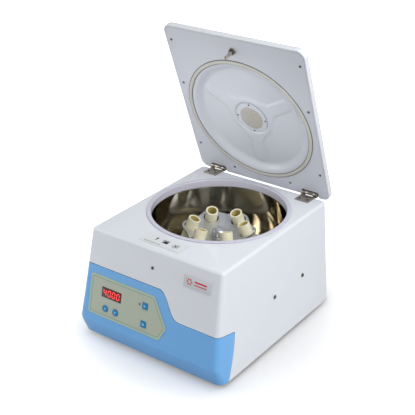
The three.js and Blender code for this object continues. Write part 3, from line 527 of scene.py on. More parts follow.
def body_skin(name):
    """The housing's outer skin as one shell, open below."""
    levels = [body_level(z, 0) for z in TOE_HEIGHTS + [CORNER_CHANGE]]
    for degrees in range(0, 91, 10):
        angle = radians(degrees)
        z = TOP - TOP_EDGE_RADIUS * (1 - sin(angle))
        levels.append(body_level(z, TOP_EDGE_RADIUS * (1 - cos(angle))))
    inner = [FOOT_HEIGHT - 2] + TOE_HEIGHTS + [CORNER_CHANGE, TOP - SHEET]
    inside = loft("inside", [body_level(z, SHEET) for z in inner])
    return boolean(loft(name, levels), [inside])


def bezier(*corners, steps=14):
    """Points of a cubic curve, without its first end."""
    points = []
    for k in range(1, steps + 1):
        t = k / steps
        s = 1 - t
        weights = (s**3, 3 * s * s * t, 3 * s * t * t, t**3)
        points.append([sum(w * corner[i] for w, corner in zip(weights, corners)) for i in (0, 1)])
    return points


STEP_LOW, STEP_MIDDLE, STEP_HIGH = 68, (38, 134), 16  # the S-shaped step of the seam on the front
WING_REAR_BOTTOM, WING_REAR = -156, -126  # Y of the bezel's rear edge on the sides
WING_CORNER = 4
WING_FALL = 8


def bezel_region(grow):
    """The space below the bezel's seam, with a curved rear edge on each side."""
    high, low, reach, g = SEAM_HIGH + grow, SEAM_LOW + grow, BASE_WIDTH, grow
    step_low, step_high = STEP_LOW + g, STEP_HIGH + g
    middle = (STEP_MIDDLE[0] + g, STEP_MIDDLE[1] + g)
    outline = [(-reach, 0), (reach, 0), (reach, low), (step_low, low)]
    outline += bezier((step_low, low), (52 + g, low), (47 + g, 120 + g), middle)
    outline += bezier(middle, (32 + g, 143 + g), (26 + g, high), (step_high, high))
    outline += [(-reach, high)]
    front = prism("front", outline, -BODY_DEPTH, 0)

    def wing(name, top, x0, x1):
        """The top falls a little to a tight corner at the rear edge."""
        bottom, rear, rear_top, corner = WING_REAR_BOTTOM + g, WING_REAR + g, top - WING_FALL + g, WING_CORNER
        edge = [(-BODY_DEPTH, 0), (bottom, 0)]
        edge += bezier((bottom, 0), (-141.3 + g, 32), (rear - 2.7, lerp(48, rear_top, 0.33)),
                       (rear, rear_top - corner), steps=12)
        edge += bezier((rear, rear_top - corner), (rear, rear_top - 1), (rear - 1, rear_top + 0.2),
                       (rear - corner, rear_top + 0.3), steps=6)
        edge += [(-164, top + g), (-BODY_DEPTH, top + g)]
        return prism(name, edge, x0, x1, axis="X")

    wing_start = 80
    wings = wing("left", SEAM_HIGH, -reach, wing_start)
    boolean(wings, [wing("right", SEAM_LOW, wing_start, reach)], "UNION")
    return boolean(front, [wings], "INTERSECT")


KEYS = [
    ("speed_up_button", -97.8, 76.3, "round", "up"),
    ("speed_down_button", -73.5, 76.3, "round", "down"),
    ("start_button", -7.0, 110.8, "square", "start"),
    ("stop_button", -7.0, 76.3, "square", "stop"),
]
KEY_RADIUS = 6.5
KEY_SIZE = 12.0
KEY_PROUD = 2.2
KEY_CLEARANCE = 0.5
DISPLAY_X, DISPLAY_HEIGHT, DISPLAY_WIDTH, DISPLAY_TALL = -86.0, 106.5, 46.0, 19.0
DISPLAY_PROUD = 1.2
LED_X, LED_HEIGHT, LED_RADIUS = -20.2, 110.9, 2.0


def key_outline(x, height, kind, grow):
    z = up_slope(height)
    if kind == "round":
        return circle(x, z, KEY_RADIUS + grow, 40)
    return rectangle(x, z, KEY_SIZE + 2 * grow, KEY_SIZE + 2 * grow, 1.2)


def face_cutters():
    """Tools for the holes that the keys, the display and the light leave."""
    holes = [key_outline(x, height, kind, KEY_CLEARANCE) for _, x, height, kind, _ in KEYS]
    grow = 2 * KEY_CLEARANCE
    holes.append(rectangle(DISPLAY_X, up_slope(DISPLAY_HEIGHT), DISPLAY_WIDTH + grow, DISPLAY_TALL + grow))
    holes.append(circle(LED_X, up_slope(LED_HEIGHT), LED_RADIUS + GAP, 20))
    return [prism("hole", hole, -8, 8, FACE) for hole in holes]


SCREW_HEIGHT = 184.0
SLOT_WIDTH, SLOT_DEPTH = 14.0, 11.0
SIDE_SCREWS = [("rear", 97.8), ("front", 1.8)]
SIDE_SCREW_HEIGHT = 102.0
REAR_WIDTH, REAR_LOW, REAR_HIGH = 244.0, 30.0, 166.0


def latch_slot():
    """A cutter for the slot that the lid's striker enters."""
    outline = rectangle(0, STRIKER_Y, SLOT_WIDTH, SLOT_DEPTH, 2)
    return prism("slot", outline, TOP - 10, TOP + 5, axis="Z")


def side_place(side, y, z):
    """A frame on a side wall, its +Z outwards."""
    return HOUSING @ move(side * half_width(z), y, z) @ rotate(side * (pi / 2 - SIDE_LEAN), "Y")


def face_place(x, height, proud):
    """A frame on the leaning front, its +Z outwards."""
    return FACE @ move(x, -proud, up_slope(height)) @ rotate(pi / 2, "X")


def housing():
    rear = rectangle(0, (REAR_LOW + REAR_HIGH) / 2, REAR_WIDTH, REAR_HIGH - REAR_LOW, 5)
    cutters = [
        bezel_region(SEAM_SHADOW),
        rod(TOP_HOLE_RADIUS, TOP - 20, TOP + 5, SPINDLE, sides=128),
        prism("rear", rear, BACK - 10, BACK + 5),
        latch_slot(),
        rod(2.2, -6, 6, FACE @ move(0, 0, up_slope(SCREW_HEIGHT)), "Y"),
    ]
    for side in (-1, 1):
        cutters += [rod(2.4, -6, 6, side_place(side, y, SIDE_SCREW_HEIGHT)) for _, y in SIDE_SCREWS]
    obj = bevel(boolean(body_skin("housing"), cutters), 0.4)
    piece(shade(obj, weighted=True), "base", WHITE, ["housing_shell"])


def bezel():
    obj = boolean(body_skin("bezel"), [bezel_region(0)], "INTERSECT")
    obj = bevel(boolean(obj, face_cutters()), 0.4)
    piece(shade(obj, weighted=True), "base", BLUE, ["front_bezel"])


# -------- controls


FILM_PROUD = 0.9
OVERLAY_CORNERS = [(-139, 58.5), (30, 58.5), (44, 84), (12, 135.5), (-137, 135.5)]  # x, height
OVERLAY_EASE = 5.0
INK = 0.08


def overlay():
    outline = [(x, up_slope(height)) for x, height in OVERLAY_CORNERS]
    sheet = prism("overlay", eased(outline, OVERLAY_EASE), -FILM_PROUD, -GAP, FACE)
    sheet = bevel(boolean(sheet, face_cutters()), 0.12, 1)
    piece(shade(sheet), "base", OVERLAY, ["control_overlay"])
    print_band("overlay_border", outline, 0.4, 4.2, OVERLAY_EDGE)
    print_band("overlay_line", outline, 4.4, 5.4, OVERLAY_LINE)


def print_band(name, outline, outer, inner, material):
    """A printed band between two insets of the overlay's outline."""
    ease = OVERLAY_EASE - outer * 0.3
    edge = eased(inset_polygon(outline, outer), ease)
    band = prism(name, edge, -FILM_PROUD - 0.06, -FILM_PROUD + 0.02, FACE)
    middle = prism("middle", eased(inset_polygon(outline, inner), ease), -3, 3, FACE)
    piece(shade(boolean(band, [middle])), "base", material)


def face_print(name, outline, proud, material, body="base"):
    """A flat printed mark on the face; proud is how far its back stands out."""
    piece(shade(prism(name, outline, -proud - INK, -proud, FACE)), body, material)


def triangle(x, z, size, up):
    tip = size if up else -size
    return [(x - size, z - tip * 0.6), (x + size, z - tip * 0.6), (x, z + tip)]


def keys():
    for name, x, height, kind, mark in KEYS:
        z = up_slope(height)
        body = name.replace("_button", "_key")
        cap = prism(name + "_cap", key_outline(x, height, kind, 0), -KEY_PROUD, 5, FACE)
        bevel(cap, 0.7, 4, 60)
        piece(shade(cap, 40), body, KEY_BLUE, [name])
        if mark in ("up", "down"):
            outline = eased(triangle(x, z, 2.6, mark == "up"), 0.4)
        elif mark == "start":
            outline = eased([(x - 2, z - 2.8), (x + 3, z), (x - 2, z + 2.8)], 0.4)
        else:
            outline = rectangle(x, z, 4.6, 4.6, 0.5)
        face_print(name + "_mark", outline, KEY_PROUD, KEY_MARK, body)


SHOWN_DIGITS = "4000"
LIT_BARS = {"0": "abcdef", "4": "bcfg"}
DIGIT_PITCH, DIGIT_WIDTH, DIGIT_TALL = 10.4, 6.0, 11.5
BAR_WIDTH = 1.5
BAR_GAP = 0.5
DIGIT_SLANT = 0.08


def digit(name, glyph, x, z):
    """A seven-segment figure as separate glowing bars."""
    w, h = DIGIT_WIDTH / 2, DIGIT_TALL / 2
    bars = {
        "a": ((-w, h), (w, h)),
        "b": ((w, h), (w, 0)),
        "c": ((w, 0), (w, -h)),
        "d": ((-w, -h), (w, -h)),
        "e": ((-w, 0), (-w, -h)),
        "f": ((-w, h), (-w, 0)),
        "g": ((-w, 0), (w, 0)),
    }
    for letter in LIT_BARS[glyph]:
        a, b = (Vector(p) for p in bars[letter])
        along = (b - a).normalized()
        a, b = a + along * BAR_GAP, b - along * BAR_GAP
        tip = along * BAR_WIDTH / 2
        across = along.orthogonal() * BAR_WIDTH / 2
        corners = [a, a + tip + across, b - tip + across, b, b - tip - across, a + tip - across]
        outline = [(x + c.x + DIGIT_SLANT * c.y, z + c.y) for c in corners]
        face_print(f"{name}_{letter}", outline, DISPLAY_PROUD + 0.02, DIGIT_RED)


def display():
    z = up_slope(DISPLAY_HEIGHT)
    window = rectangle(DISPLAY_X, z, DISPLAY_WIDTH, DISPLAY_TALL)
    pane = prism("display_pane", window, -DISPLAY_PROUD, 4, FACE)
    bevel(pane, 0.3, 2, 60)
    piece(shade(pane, 40), "base", DISPLAY_DARK, ["display_window"])
    for i, glyph in enumerate(SHOWN_DIGITS):
        digit(f"digit_{i + 1}", glyph, DISPLAY_X + DIGIT_PITCH * (i - 1.5), z)
    profile = [(0, -5), (LED_RADIUS, -5), (LED_RADIUS, 1.0), (1.3, 1.9), (0, 2.2)]
    light = lathe("status_lens", profile, face_place(LED_X, LED_HEIGHT, 0), 24, 0.4)
    piece(light, "base", LED_GREEN, ["status_light"])


def rating_plate():
    """A plain plate with a ring of dots and two bars in place of any name."""
    x, z, proud = 99.0, up_slope(184.7), 1.0
    ring_x, ring, dot_radius = x - 17, 4.6, 1.7
    plate = prism("front_plate", rectangle(x, z, 58, 21.5, 1.2), -proud, -GAP, FACE)
    bevel(plate, 0.2, 2, 60)
    piece(shade(plate, 40), "base", PLATE_GREY, ["rating_plate"])
    marks = {}
    for i in range(6):
        across, up = polar(ring, radians(60 * i))
        marks[f"plate_dot_{i + 1}"] = circle(ring_x + across, z + up, dot_radius, 20)
    marks["plate_bar_upper"] = rectangle(x + 7, z + 2.6, 26, 3.0, 1.0)
    marks["plate_bar_lower"] = rectangle(x + 7, z - 3.0, 26, 2.0, 0.8)
    for name, outline in marks.items():
        face_print(name, outline, proud, MARK_RED)


def top_label():
    """The label behind the top edge: an arrow, a row of dashes and a rotor sign, with no lettering."""
    low, thick = TOP + GAP, 0.5
    sheet = prism("label_sheet", rectangle(-2, -118.5, 90, 31, 2), low, low + thick, axis="Z")
    piece(shade(boolean(sheet, [latch_slot()])), "base", LABEL_WHITE, ["top_label"])
    marks = {
        "label_arrow": eased(triangle(-20, -112, 3.2, True), 0.4),
        "label_arrow_stem": rectangle(-20, -117, 1.6, 6, 0.4),
    }
    for i in range(6):
        marks[f"label_dash_{i + 1}"] = rectangle(-36 + 6.2 * i, -129, 4.2, 1.6, 0.4)
    hub = Vector((25, -119))
    for i in range(8):
        along = Vector(polar(1, radians(45 * i)))
        across = along.orthogonal() * 0.6
        inner, outer = hub + along * 3.2, hub + along * 8
        marks[f"label_ray_{i + 1}"] = [inner - across, outer - across, outer + across, inner + across]
    marks["label_hub"] = circle(hub.x, hub.y, 2.4, 24)
    for name, outline in marks.items():
        ink = prism(name, outline, low + thick, low + thick + INK, axis="Z")
        piece(shade(ink), "base", MARK_DARK)


# -------- fasteners


def screw_head(name, place, radius, height, body, replaces=()):
    """A pan-head screw with a cross recess; the head stands on z = 0 of its frame."""
    shank = radius * 0.5
    profile = [(0, -5), (shank, -5), (shank, 0), (radius, 0), (radius, height * 0.35),
               (radius * 0.72, height * 0.9), (0, height)]
    head = lathe(name, profile, place, 32, height * 0.3)
    arm, thick, recess = radius * 0.6, radius * 0.13, height * 0.6
    for turn in (0, pi / 2):
        cross = place @ rotate(turn + 0.4, "Z")
        boolean(head, [block("cross", (-arm, -thick, height - recess), (arm, thick, height + 2), cross)])
    piece(shade(head, 30), body, DARK_STEEL, replaces)


LID_SCREWS = [(140, 308), (140, 208), (140, 56), (66, 13)]  # from the middle, from the hinge axis
WINDOW_SCREW_CIRCLE = 31
WINDOW_FACE = 8.6


def fasteners():
    front = face_place(0, SCREW_HEIGHT, GAP)
    screw_head("front_lock_screw", front, 3.0, 1.4, "base", ["front_screw"])
    for side, side_name in ((-1, "left"), (1, "right")):
        for end, y in SIDE_SCREWS:
            place = side_place(side, y, SIDE_SCREW_HEIGHT) @ move(0, 0, GAP)
            node = f"side_screw_{side_name}_{end}"
            screw_head(node + "_head", place, 4.0, 1.8, "base", [node])
    flip = rotate(pi, "X")
    for i, (side, (x, y)) in enumerate([(side, spot) for side in (-1, 1) for spot in LID_SCREWS]):
        place = LID @ move(side * x, -y, -0.05) @ flip
        screw_head(f"lid_panel_screw_{i + 1}", place, 2.6, 1.0, "lid")
    for i in range(4):
        x, y = polar(WINDOW_SCREW_CIRCLE, radians(90 * i))
        screw_head(f"window_screw_{i + 1}", LID_CENTRE @ move(x, y, WINDOW_FACE) @ flip, 1.9, 0.9, "lid")


# -------- chamber and rotor


def chamber():
    low, top = BOWL_TOP + GAP, TOP + 2
    inner, skirt, rest = CHAMBER_RADIUS - 0.5, TOP_HOLE_RADIUS - 0.5, TOP + GAP
    profile = [(inner, low), (skirt, low), (skirt, rest), (RIM_RADIUS, rest), (RIM_RADIUS, top), (inner, top)]
    ring = lathe("rim_ring", profile, segments=160, ease=1.6, steps=5)
    piece(ring, "base", RIM_WHITE, ["chamber_rim"])
    bend, sheet, bore = 14, 1.2, 22

    def bottom_bend(radius, order):
        """The quarter circle between the bowl's wall and its floor."""
        for degrees in order:
            across, down = polar(radius, radians(degrees))
            yield (CHAMBER_RADIUS - bend + across, CHAMBER_FLOOR + bend - down)

    profile = [
        (BOWL_FLANGE, BOWL_TOP),
        (CHAMBER_RADIUS, BOWL_TOP),
        *bottom_bend(bend, range(0, 91, 10)),
        (bore, CHAMBER_FLOOR),
        (bore, CHAMBER_FLOOR - sheet),
        *bottom_bend(bend + sheet, range(90, -1, -10)),
        (CHAMBER_RADIUS + sheet, BOWL_TOP - sheet),
        (BOWL_FLANGE, BOWL_TOP - sheet),
    ]
    bowl = lathe("steel_bowl", profile, segments=160, ease=0.3, steps=1)
    piece(bowl, "base", MIRROR_STEEL, ["chamber_bowl"])
    low = CHAMBER_FLOOR + GAP
    inner = 19.3
    folds = [(inner, low), (30, low), (29, low + 1.5), (25, low + 2), (24, low + 4), (inner + 2, low + 4.6),
             (inner + 1.6, low + 6), (inner, low + 6)]
    boot = lathe("shaft_boot", folds, segments=64, ease=0.6)
    piece(boot, "base", RUBBER, ["chamber_boot"])


def plate_height(drop, radius):
    """Height, at a radius, of a plate square to the sleeves and a drop below their mouths."""
    at_sleeve = MOUTH_RADIUS + drop * sin(TUBE_ANGLE)
    return MOUTH_HEIGHT - drop * cos(TUBE_ANGLE) + (radius - at_sleeve) * tan(TUBE_ANGLE)


def sleeve_place(angle, drop=0.0):
    """A frame at a point on a sleeve's axis, +Z towards its mouth."""
    mouth = SPINDLE @ rotate(angle, "Z") @ move(MOUTH_RADIUS, 0, MOUTH_HEIGHT)
    return mouth @ rotate(-TUBE_ANGLE, "Y") @ move(0, 0, -drop)


UPPER_DROP, LOWER_DROP = 20, 72  # down a sleeve's axis to the rotor's two plates
SHAFT_BORE = 5.3
HUB_RADIUS, HUB_BOTTOM, HUB_TOP = 18, 92, 164


def lobed_plate():
    """The upper plate: square to the sleeves, with a soft lobe at each place."""
    sheet, reach, inner, sides = 3, 78, HUB_RADIUS - 2, 144
    profile = [
        (inner, plate_height(UPPER_DROP, inner) - sheet),
        (reach, plate_height(UPPER_DROP, reach) - sheet),
        (reach, plate_height(UPPER_DROP, reach)),
        (inner, plate_height(UPPER_DROP, inner)),
    ]
    plate = lathe("rotor_plate", profile, segments=sides, ease=0.2, steps=1)
    lobes = []
    for k in range(sides):
        angle = 2 * pi * k / sides
        lobes.append(polar(67 + 4.5 * cos(6 * (angle - PLACE_ANGLES[0])), angle))
    return boolean(plate, [prism("lobes", lobes, 0, 300, SPINDLE, "Z")], "INTERSECT")


def rotor():
    sheet, web, bend, edge = 3, 115.5, 52, 92

    def top(radius):
        return plate_height(LOWER_DROP, radius) + sheet / 2

    profile = [
        (SHAFT_BORE, HUB_BOTTOM), (HUB_RADIUS, HUB_BOTTOM), (HUB_RADIUS, web), (bend, web),
        (edge + 1, top(edge) - sheet - 1), (edge, top(edge)), (bend, top(bend)), (bend - 2, web + sheet),
        (HUB_RADIUS, web + sheet), (HUB_RADIUS, HUB_TOP - 2), (HUB_RADIUS - 2, HUB_TOP),
        (SHAFT_BORE, HUB_TOP),
    ]
    body = lathe("rotor_body", profile, segments=144, ease=0.8)
    boolean(body, [lobed_plate()], "UNION")
    for angle in PLACE_ANGLES:
        boolean(body, [
            rod(14.7, -8, 8, sleeve_place(angle, UPPER_DROP), sides=48),
            rod(12.8, -7, 7, sleeve_place(angle, LOWER_DROP), sides=40),
            rod(14.6, -5.7, 5.7, sleeve_place(angle, LOWER_DROP - 7), sides=40),
        ])
    bevel(body, 0.5, 2, 32)
    piece(shade(body, 30, weighted=True), "rotor", ALUMINIUM, ["rotor"])


def rotor_nut():
    """A round nut with twelve flutes."""
    low = HUB_TOP + GAP
    profile = [(0, low + 10), (SHAFT_BORE, low + 10), (SHAFT_BORE, low), (14, low), (14, low + 7),
               (11, low + 12), (4, low + 14), (0, low + 14)]
    nut = lathe("rotor_nut_cap", profile, ease=0.8)
    flutes = []
    for i in range(12):
        outline = circle(*polar(16.2, radians(30 * i)), 3.2, 20)
        flutes.append(prism("flute", outline, low - 1, low + 20, SPINDLE, "Z"))
    bevel(boolean(nut, flutes), 0.3, 2, 40)
    piece(shade(nut, 30), "rotor", ALUMINIUM, ["rotor_nut"])


def sleeves():
    seat, collar = 70.2, 13.6
    r, bore, end = SLEEVE_RADIUS, SLEEVE_BORE, -SLEEVE_LENGTH
    profile = [
        (0, end), (7, end), (r, end + 6), (r, -seat), (collar, -seat), (collar, 4 - seat), (r, 4 - seat),
        (r, 0), (bore, 0), (bore, end + 12), (0, end + 6),
    ]
    for i, angle in enumerate(PLACE_ANGLES):
        sleeve = lathe(f"sleeve_{i + 1}", profile, sleeve_place(angle), 64, 0.8, 4)
        piece(sleeve, f"sleeve_{i + 1}", CREAM, [f"tube_sleeve_{i + 1}"])
        # the faces inside the bore take the painted shade of the bore
        sleeve.data.materials.append(BORE_SHADE)
        for face in sleeve.data.polygons:
            centre = face.center / MM
            if hypot(centre.x, centre.y) < bore + 0.2 and end + 7 < centre.z < -1.2:
                face.material_index = 1


# -------- lid


def lid_level(z, inset):
    half, radius = LID_WIDTH / 2 - inset, max(0.8, LID_CORNER - inset)
    return (z, -half, half, inset - LID_LENGTH, LID_OVERHANG - inset, radius, radius)


def hinge_notches():
    half, deep, rear = 18.5, 5.8, LID_OVERHANG + 3
    return [block("notch", (x - half, -deep, -3), (x + half, rear, deep), LID) for x in (-HINGE_X, HINGE_X)]


def lid_shell():
    levels = [lid_level(0, 0)]
    for degrees in range(0, 91, 9):
        angle = radians(degrees)
        rounding = LID_EDGE * (1 - cos(angle))
        levels.append(lid_level(LID_THICKNESS - LID_EDGE * (1 - sin(angle)), rounding))
    shell = loft("lid_cover", levels, LID)
    inside = loft("inside", [
        lid_level(-2, SHEET),
        lid_level(LID_THICKNESS - LID_EDGE, SHEET),
        lid_level(LID_THICKNESS - SHEET, LID_EDGE - 2),
    ], LID)
    boolean(shell, [inside, rod(DISH_HOLE, -1, 30, LID_CENTRE, sides=64), *hinge_notches()])
    bevel(shell, 0.4)
    piece(shade(shell, weighted=True), "lid", WHITE, ["lid_shell"])
    panel = loft("lid_panel", [lid_level(0, 3), lid_level(2, 3)], LID)
    boolean(panel, [rod(DISH_RADIUS + GAP, -5, 5, LID_CENTRE, sides=160), *hinge_notches()])
    bevel(panel, 0.35)
    piece(shade(panel, weighted=True), "lid", LID_GREY, ["lid_inner_panel"])


# the dish as rings, closer together where its section bends
DISH_RADII = [DISH_HOLE, 24, 28, 32, 35, 36, 37, 38.5, *range(40, 48, 2), 48, 51, 54, *range(58, 71, 4),
              *range(75, 96, 5), 99, 102, *range(105, 128, 2), 128.5, 130, 133, DISH_RADIUS]
DISH_DEPTH = 10.5
DISH_RAISED = 2.4  # height of the ribs and of the boss round the window
RIB_DEGREES = (90, 210, 330)


def dish_height(radius, angle):
    """Depth of the moulded dish above the lid's inner face, with three soft ribs and a boss."""
    wall = smooth((radius - 108) / 21)
    boss = smooth((radius - 34.5) / 3) * (1 - smooth((radius - 41) / 9))
    rib = 0.0
    for degrees in RIB_DEGREES:
        turn = angle - radians(degrees)
        flank = 12.5 + 16 * (1 - smooth((radius - 36) / 26)) - 2.5 * smooth((radius - 80) / 40)
        if cos(turn) > 0:
            across = abs(radius * sin(turn))
            rib = max(rib, 1 - smooth((across - flank + 1.6) / 3.2))
    rib *= smooth((radius - 35) / 4) * (1 - smooth((radius - 100) / 14))
    return DISH_DEPTH * (1 - wall) - DISH_RAISED * max(boss, rib)


def dish():
    """One closed sheet: the moulded face as rings of points, then the smooth back."""
    count, sheet = 240, 2.0
    angles = [2 * pi * k / count for k in range(count)]
    sections = [[(radius, dish_height(radius, angle)) for angle in angles] for radius in DISH_RADII]
    for corner in ((DISH_RADIUS, sheet), (127, sheet), (114, DISH_BACK), (DISH_HOLE, DISH_BACK)):
        sections.append([corner] * count)
    points = [(*polar(radius, angle), z)
              for section in sections for angle, (radius, z) in zip(angles, section)]
    faces = bands(len(sections), count, closed=True)
    obj = outward(mesh_object("moulded_dish", points, faces, LID_CENTRE))
    piece(shade(obj, 50), "lid", DISH_WHITE, ["lid_dish"])


def lid_lathe(name, profile, material, segments, ease, steps=3, place=LID_CENTRE, replaces=()):
    """A turned piece of the lid."""
    piece(lathe(name, profile, place, segments, ease, steps), "lid", material, replaces)


def lid_seal():
    """The ring seal, and a thin dark ring at the joint on each side of it: painted shade of the gap between
    seal and panel.
    """
    seal = [(130, -GAP), (130, -1.4), (131.5, -2.3), (133.2, -2.6), (135, -2.3), (136.5, -1.4), (136.5, -GAP)]
    lid_lathe("lid_ring_seal", seal, SEAL_CREAM, 200, 1.2, 4, replaces=["lid_seal"])
    # the dark rings are painted shade, standing in for the shadow in the gaps beside the seal
    for name, inner, outer in (("seal_outer_painted_shade", 136.6, 138.0), ("seal_inner_painted_shade", 128.8, 129.9)):
        joint = [(inner, -0.6), (outer, -0.6), (outer, 0.2), (inner, 0.2)]
        lid_lathe(name, joint, SEAL_GAP_PAINTED_SHADE, 200, 0.1, 1)


def lid_window():
    """A round plug through the lid, with a clear lens on either face."""
    low, step, top = WINDOW_FACE, 10.2, 15.6
    plug = [(0, low), (24, low), (25.5, low), (34, low), (34, step), (21, step), (21, top), (0, top)]
    lid_lathe("window_plug", plug, DISH_WHITE, 96, 0.4, replaces=["lid_window"])
    lens = [(0, 7.7), (18, 7.8), (24.5, 8.1), (25.5, 8.5), (0, 8.5)]
    lid_lathe("window_lens_disc", lens, LENS, 96, 0.5)
    outer_lens = [(0, 15.65), (20, 15.65), (20.6, 15.7), (0, 15.78)]
    lid_lathe("window_outer_lens", outer_lens, LENS, 64, 0.05)


def striker():
    """The latch pin that hangs from the lid's front edge, with a hexagonal collar."""
    place = LID @ move(0, -STRIKER_REACH, 0)
    waist, pin, flange = 1.6, 3.3, 7
    profile = [(0, -25), (waist, -25), (pin, -22), (pin, -19.6), (waist, -19.6), (waist, -14.4), (pin, -14.4),
               (pin, -2.3), (flange, -2.3), (flange, -GAP), (0, -GAP)]
    lid_lathe("striker_pin", profile, BRIGHT_STEEL, 40, 0.5, 3, place, ["latch_striker"])
    collar = [(3.5, -5.6), (6.2, -5.6), (6.2, -2.4), (3.5, -2.4)]
    lid_lathe("striker_collar", collar, DARK_STEEL, 6, 0.3, 3, place)


# -------- hinges


BODY_LEAF_LOW, BODY_LEAF_LENGTH = -4.7, 33.0
LID_LEAF_LOW, LID_LEAF_LENGTH = 2.3, 31.0
LEAF_SHEET = 1.5
LEAF_WIDTH = 30.0
KNUCKLE_RADIUS = 4.5
KNUCKLE_END, KNUCKLE_SPLIT = 17.5, 8.6


def hinges():
    for side, name in ((-1, "left"), (1, "right")):
        place = move(*HINGE) @ move(side * HINGE_X, 0, 0)
        leaf(name, "body", place, BODY_LEAF_LOW, BODY_LEAF_LENGTH, "base")
        leaf(name, "lid", LID @ move(side * HINGE_X, 0, 0), LID_LEAF_LOW, LID_LEAF_LENGTH, "lid")
        end = KNUCKLE_END + 1
        bar = [(0, -end), (1.8, -end), (1.8, end), (0, end)]
        pin = lathe(f"hinge_{name}_pin_bar", bar, place @ rotate(pi / 2, "Y"), 24, 0.4)
        piece(pin, "base", DARK_STEEL, [f"hinge_{name}_pin"])
        for i, (x, y) in enumerate(((-8, -24), (8, -24), (0, -14))):
            head = place @ move(x, y, BODY_LEAF_LOW + LEAF_SHEET)
            screw_head(f"hinge_{name}_screw_{i + 1}", head, 2.6, 0.9, "base")


def leaf(name, kind, place, low, length, body):
    """A plate and its rolled knuckles on the pin: one for the lid, two for the body."""
    top, half = low + LEAF_SHEET, LEAF_WIDTH / 2
    spans = [(-KNUCKLE_SPLIT, KNUCKLE_SPLIT)]
    if kind == "body":
        inner = KNUCKLE_SPLIT + 0.4
        spans = [(-KNUCKLE_END, -inner), (inner, KNUCKLE_END)]
    near = -KNUCKLE_RADIUS - 1
    plate = block(f"hinge_{name}_{kind}_plate", (-half, -length, low), (half, near, top), place)
    tools = []
    for x0, x1 in spans:
        tools.append(block("tongue", (x0, near - 1, low), (x1, -0.6, top), place))
        tools.append(rod(KNUCKLE_RADIUS, x0, x1, place, "X", 40))
    boolean(plate, tools, "UNION")
    boolean(plate, [rod(2.1, -30, 30, place, "X", 24)])
    bevel(plate, 0.3)
    piece(shade(plate, 30), body, BRIGHT_STEEL, [f"hinge_{name}_{kind}_leaf"])


# -------- base, rear and inner nodes


def feet():
    for corner in ("front_left", "front_right", "rear_left", "rear_right"):
        low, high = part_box(f"foot_{corner}")
        x, y, _ = (low + high) / 2 / MM
        profile = [(0, 0.6), (8, 0.6), (9, 0), (13, 0), (14, 1.2), (12, FOOT_HEIGHT), (0, FOOT_HEIGHT)]
        foot = lathe(f"rubber_foot_{corner}", profile, move(x, y, 0), 48, 0.8)
        piece(foot, "base", RUBBER, [f"foot_{corner}"])


# CAD nodes whose shape is right: their finish and the width of their eased edges
KEPT_NODES = [
    (BRIGHT_STEEL, 0.4, ["base_plate", "motor_mount", "motor_shaft"]),
    (BRIGHT_STEEL, 0.8, ["power_supply"]),
    (BRIGHT_STEEL, 0.3, ["latch_bolt"]),
    (PLATE_GREY, 0.25, ["rear_panel"]),
    (BLACK, 0.4, ["power_inlet", "power_switch_frame", "power_switch_rocker", "fuse_holder"]),
    (BLACK, 0.5, ["latch_body"]),
    (MOTOR_PAINT, 0.8, ["drive_motor"]),
    (RUBBER, 0.5, ["motor_damper_1", "motor_damper_2", "motor_damper_3"]),
    (BOARD, 0.1, ["control_board"]),
]


def kept_nodes():
    for material, width, names in KEPT_NODES:
        for node in (frame["nodes"][name] for name in names):
            node.data.materials.clear()
            node.data.materials.append(material)
            modify(node, "WELD", merge_threshold=1e-5)
            modify(node, "DECIMATE", decimate_type="DISSOLVE", angle_limit=radians(1))
            ease_edges(node, width, 2, 40)


# -------- stage


def soft_light(name, location, target, size, power):
    """A rectangular area light aimed at a point; places and sizes in metres, power in watts."""
    data = bpy.data.lights.new(name, "AREA")
    data.shape = "RECTANGLE"
    data.size, data.size_y = size
    data.energy = power
    light = new_object(name, data)
    light.location = location
    light.rotation_euler = (Vector(target) - light.location).to_track_quat("-Z", "Y").to_euler()
    return light


def studio_world():
    """White to the camera, soft daylight for diffuse light, a dim warm studio in reflections."""
    world = bpy.data.worlds.new("studio")
    bpy.context.scene.world = world
    world.use_nodes = True
    tree = world.node_tree
    tree.nodes.clear()
    path = add_node(tree, "LightPath")
    white = add_node(tree, "Background", {"Color": (1, 1, 1, 1)})
    ambient = add_node(tree, "Background", {"Color": (0.97, 0.98, 1.0, 1), "Strength": 0.5})
    coordinates = add_node(tree, "TexCoord")
    split = add_node(tree, "SeparateXYZ", {"Vector": coordinates.outputs["Generated"]})
    ramp = add_node(tree, "ValToRGB", {"Fac": split.outputs["Z"]})
    level, overhead = ramp.color_ramp.elements
    level.color = (0.75, 0.75, 0.76, 1)
    overhead.color = (0.028, 0.022, 0.017, 1)
    overhead.position = 0.72
    dim = add_node(tree, "Background", {"Color": ramp.outputs["Color"]})
    glossy = {"Fac": path.outputs["Is Glossy Ray"], 1: ambient.outputs["Background"],
              2: dim.outputs["Background"]}
    unseen = add_node(tree, "MixShader", glossy)
    camera_ray = {"Fac": path.outputs["Is Camera Ray"], 1: unseen.outputs["Shader"],
                  2: white.outputs["Background"]}
    add_node(tree, "OutputWorld", {"Surface": add_node(tree, "MixShader", camera_ray).outputs["Shader"]})


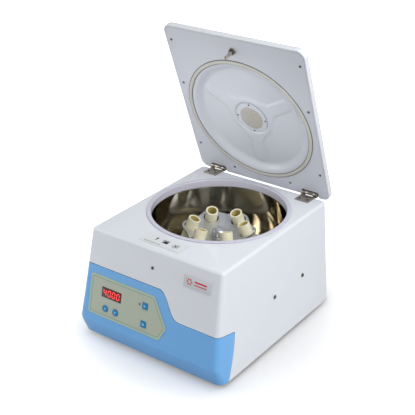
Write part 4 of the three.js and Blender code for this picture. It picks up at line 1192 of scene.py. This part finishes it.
def floor():
    """A pale round floor that brightens to white away from the object, for camera rays only."""
    disc = prism("floor", circle(0, 0, 4000, 96), -12, 0, axis="Z")
    paint = surface("floor_paint", srgb(252, 252, 252), 0.9, mottle=0.004, patch=400, grain=3)
    tree = paint.node_tree
    coordinates = add_node(tree, "TexCoord")
    distance = add_node(tree, "VectorMath", {0: coordinates.outputs["Object"]}, operation="LENGTH")
    sweep = {"Value": distance.outputs["Value"], "From Min": 0.18, "From Max": 0.42, "To Min": 0.16,
             "To Max": 0.9}
    glow = add_node(tree, "MapRange", sweep, interpolation_type="SMOOTHSTEP")
    path = add_node(tree, "LightPath")
    seen = {0: glow.outputs["Result"], 1: path.outputs["Is Camera Ray"]}
    strength = add_node(tree, "Math", seen, operation="MULTIPLY").outputs["Value"]
    feed(tree, tree.nodes["Principled BSDF"], {"Emission Color": (1, 1, 1, 1), "Emission Strength": strength})
    disc.data.materials.append(paint)
    return disc


def stage():
    ground = floor()
    studio_world()
    key = soft_light("key_right", (1.3, -0.2, 1.2), (0.1, 0, 0.15), (0.8, 0.8), 17)
    not_the_floor = bpy.data.collections.new("lit_by_key")
    not_the_floor.objects.link(ground)
    not_the_floor.collection_objects[0].light_linking.link_state = "EXCLUDE"
    key.light_linking.receiver_collection = not_the_floor
    soft_light("overhead", (0.4, -0.1, 2.2), (0, 0, 0.1), (1.6, 1.6), 11)
    soft_light("front_fill", (-0.8, -0.55, 0.4), (-0.1, -0.15, 0.15), (0.4, 0.4), 2.0)
    lid_fill = soft_light("lid_fill", (0, -0.2, 0.4), (0, 0.25, 0.36), (0.3, 0.12), 0.1)
    lid_fill.data.spread = radians(75)
    lid_fill.visible_camera = False
    lid_fill.visible_glossy = False


def camera():
    azimuth, elevation, roll = radians(36.77), radians(26.55), radians(-0.65)
    target = Vector((-11.7, MIDDLE_Y + 24.5, 226.5)) * MM
    distance = 1.8244
    back = Vector((*polar(cos(elevation), azimuth - pi / 2), sin(elevation)))
    data = bpy.data.cameras.new("camera")
    data.lens = 84.55
    data.sensor_width = 36
    eye = new_object("camera", data)
    aim = (-back).to_track_quat("-Z", "Y").to_matrix().to_4x4()
    eye.matrix_world = Matrix.Translation(target + back * distance) @ aim @ rotate(roll, "Z")
    bpy.context.scene.camera = eye
    bpy.context.scene.view_settings.view_transform = "Standard"


housing()
bezel()
overlay()
keys()
display()
rating_plate()
top_label()
chamber()
rotor()
rotor_nut()
sleeves()
lid_shell()
dish()
lid_seal()
lid_window()
striker()
hinges()
fasteners()
feet()
kept_nodes()
stage()
camera()
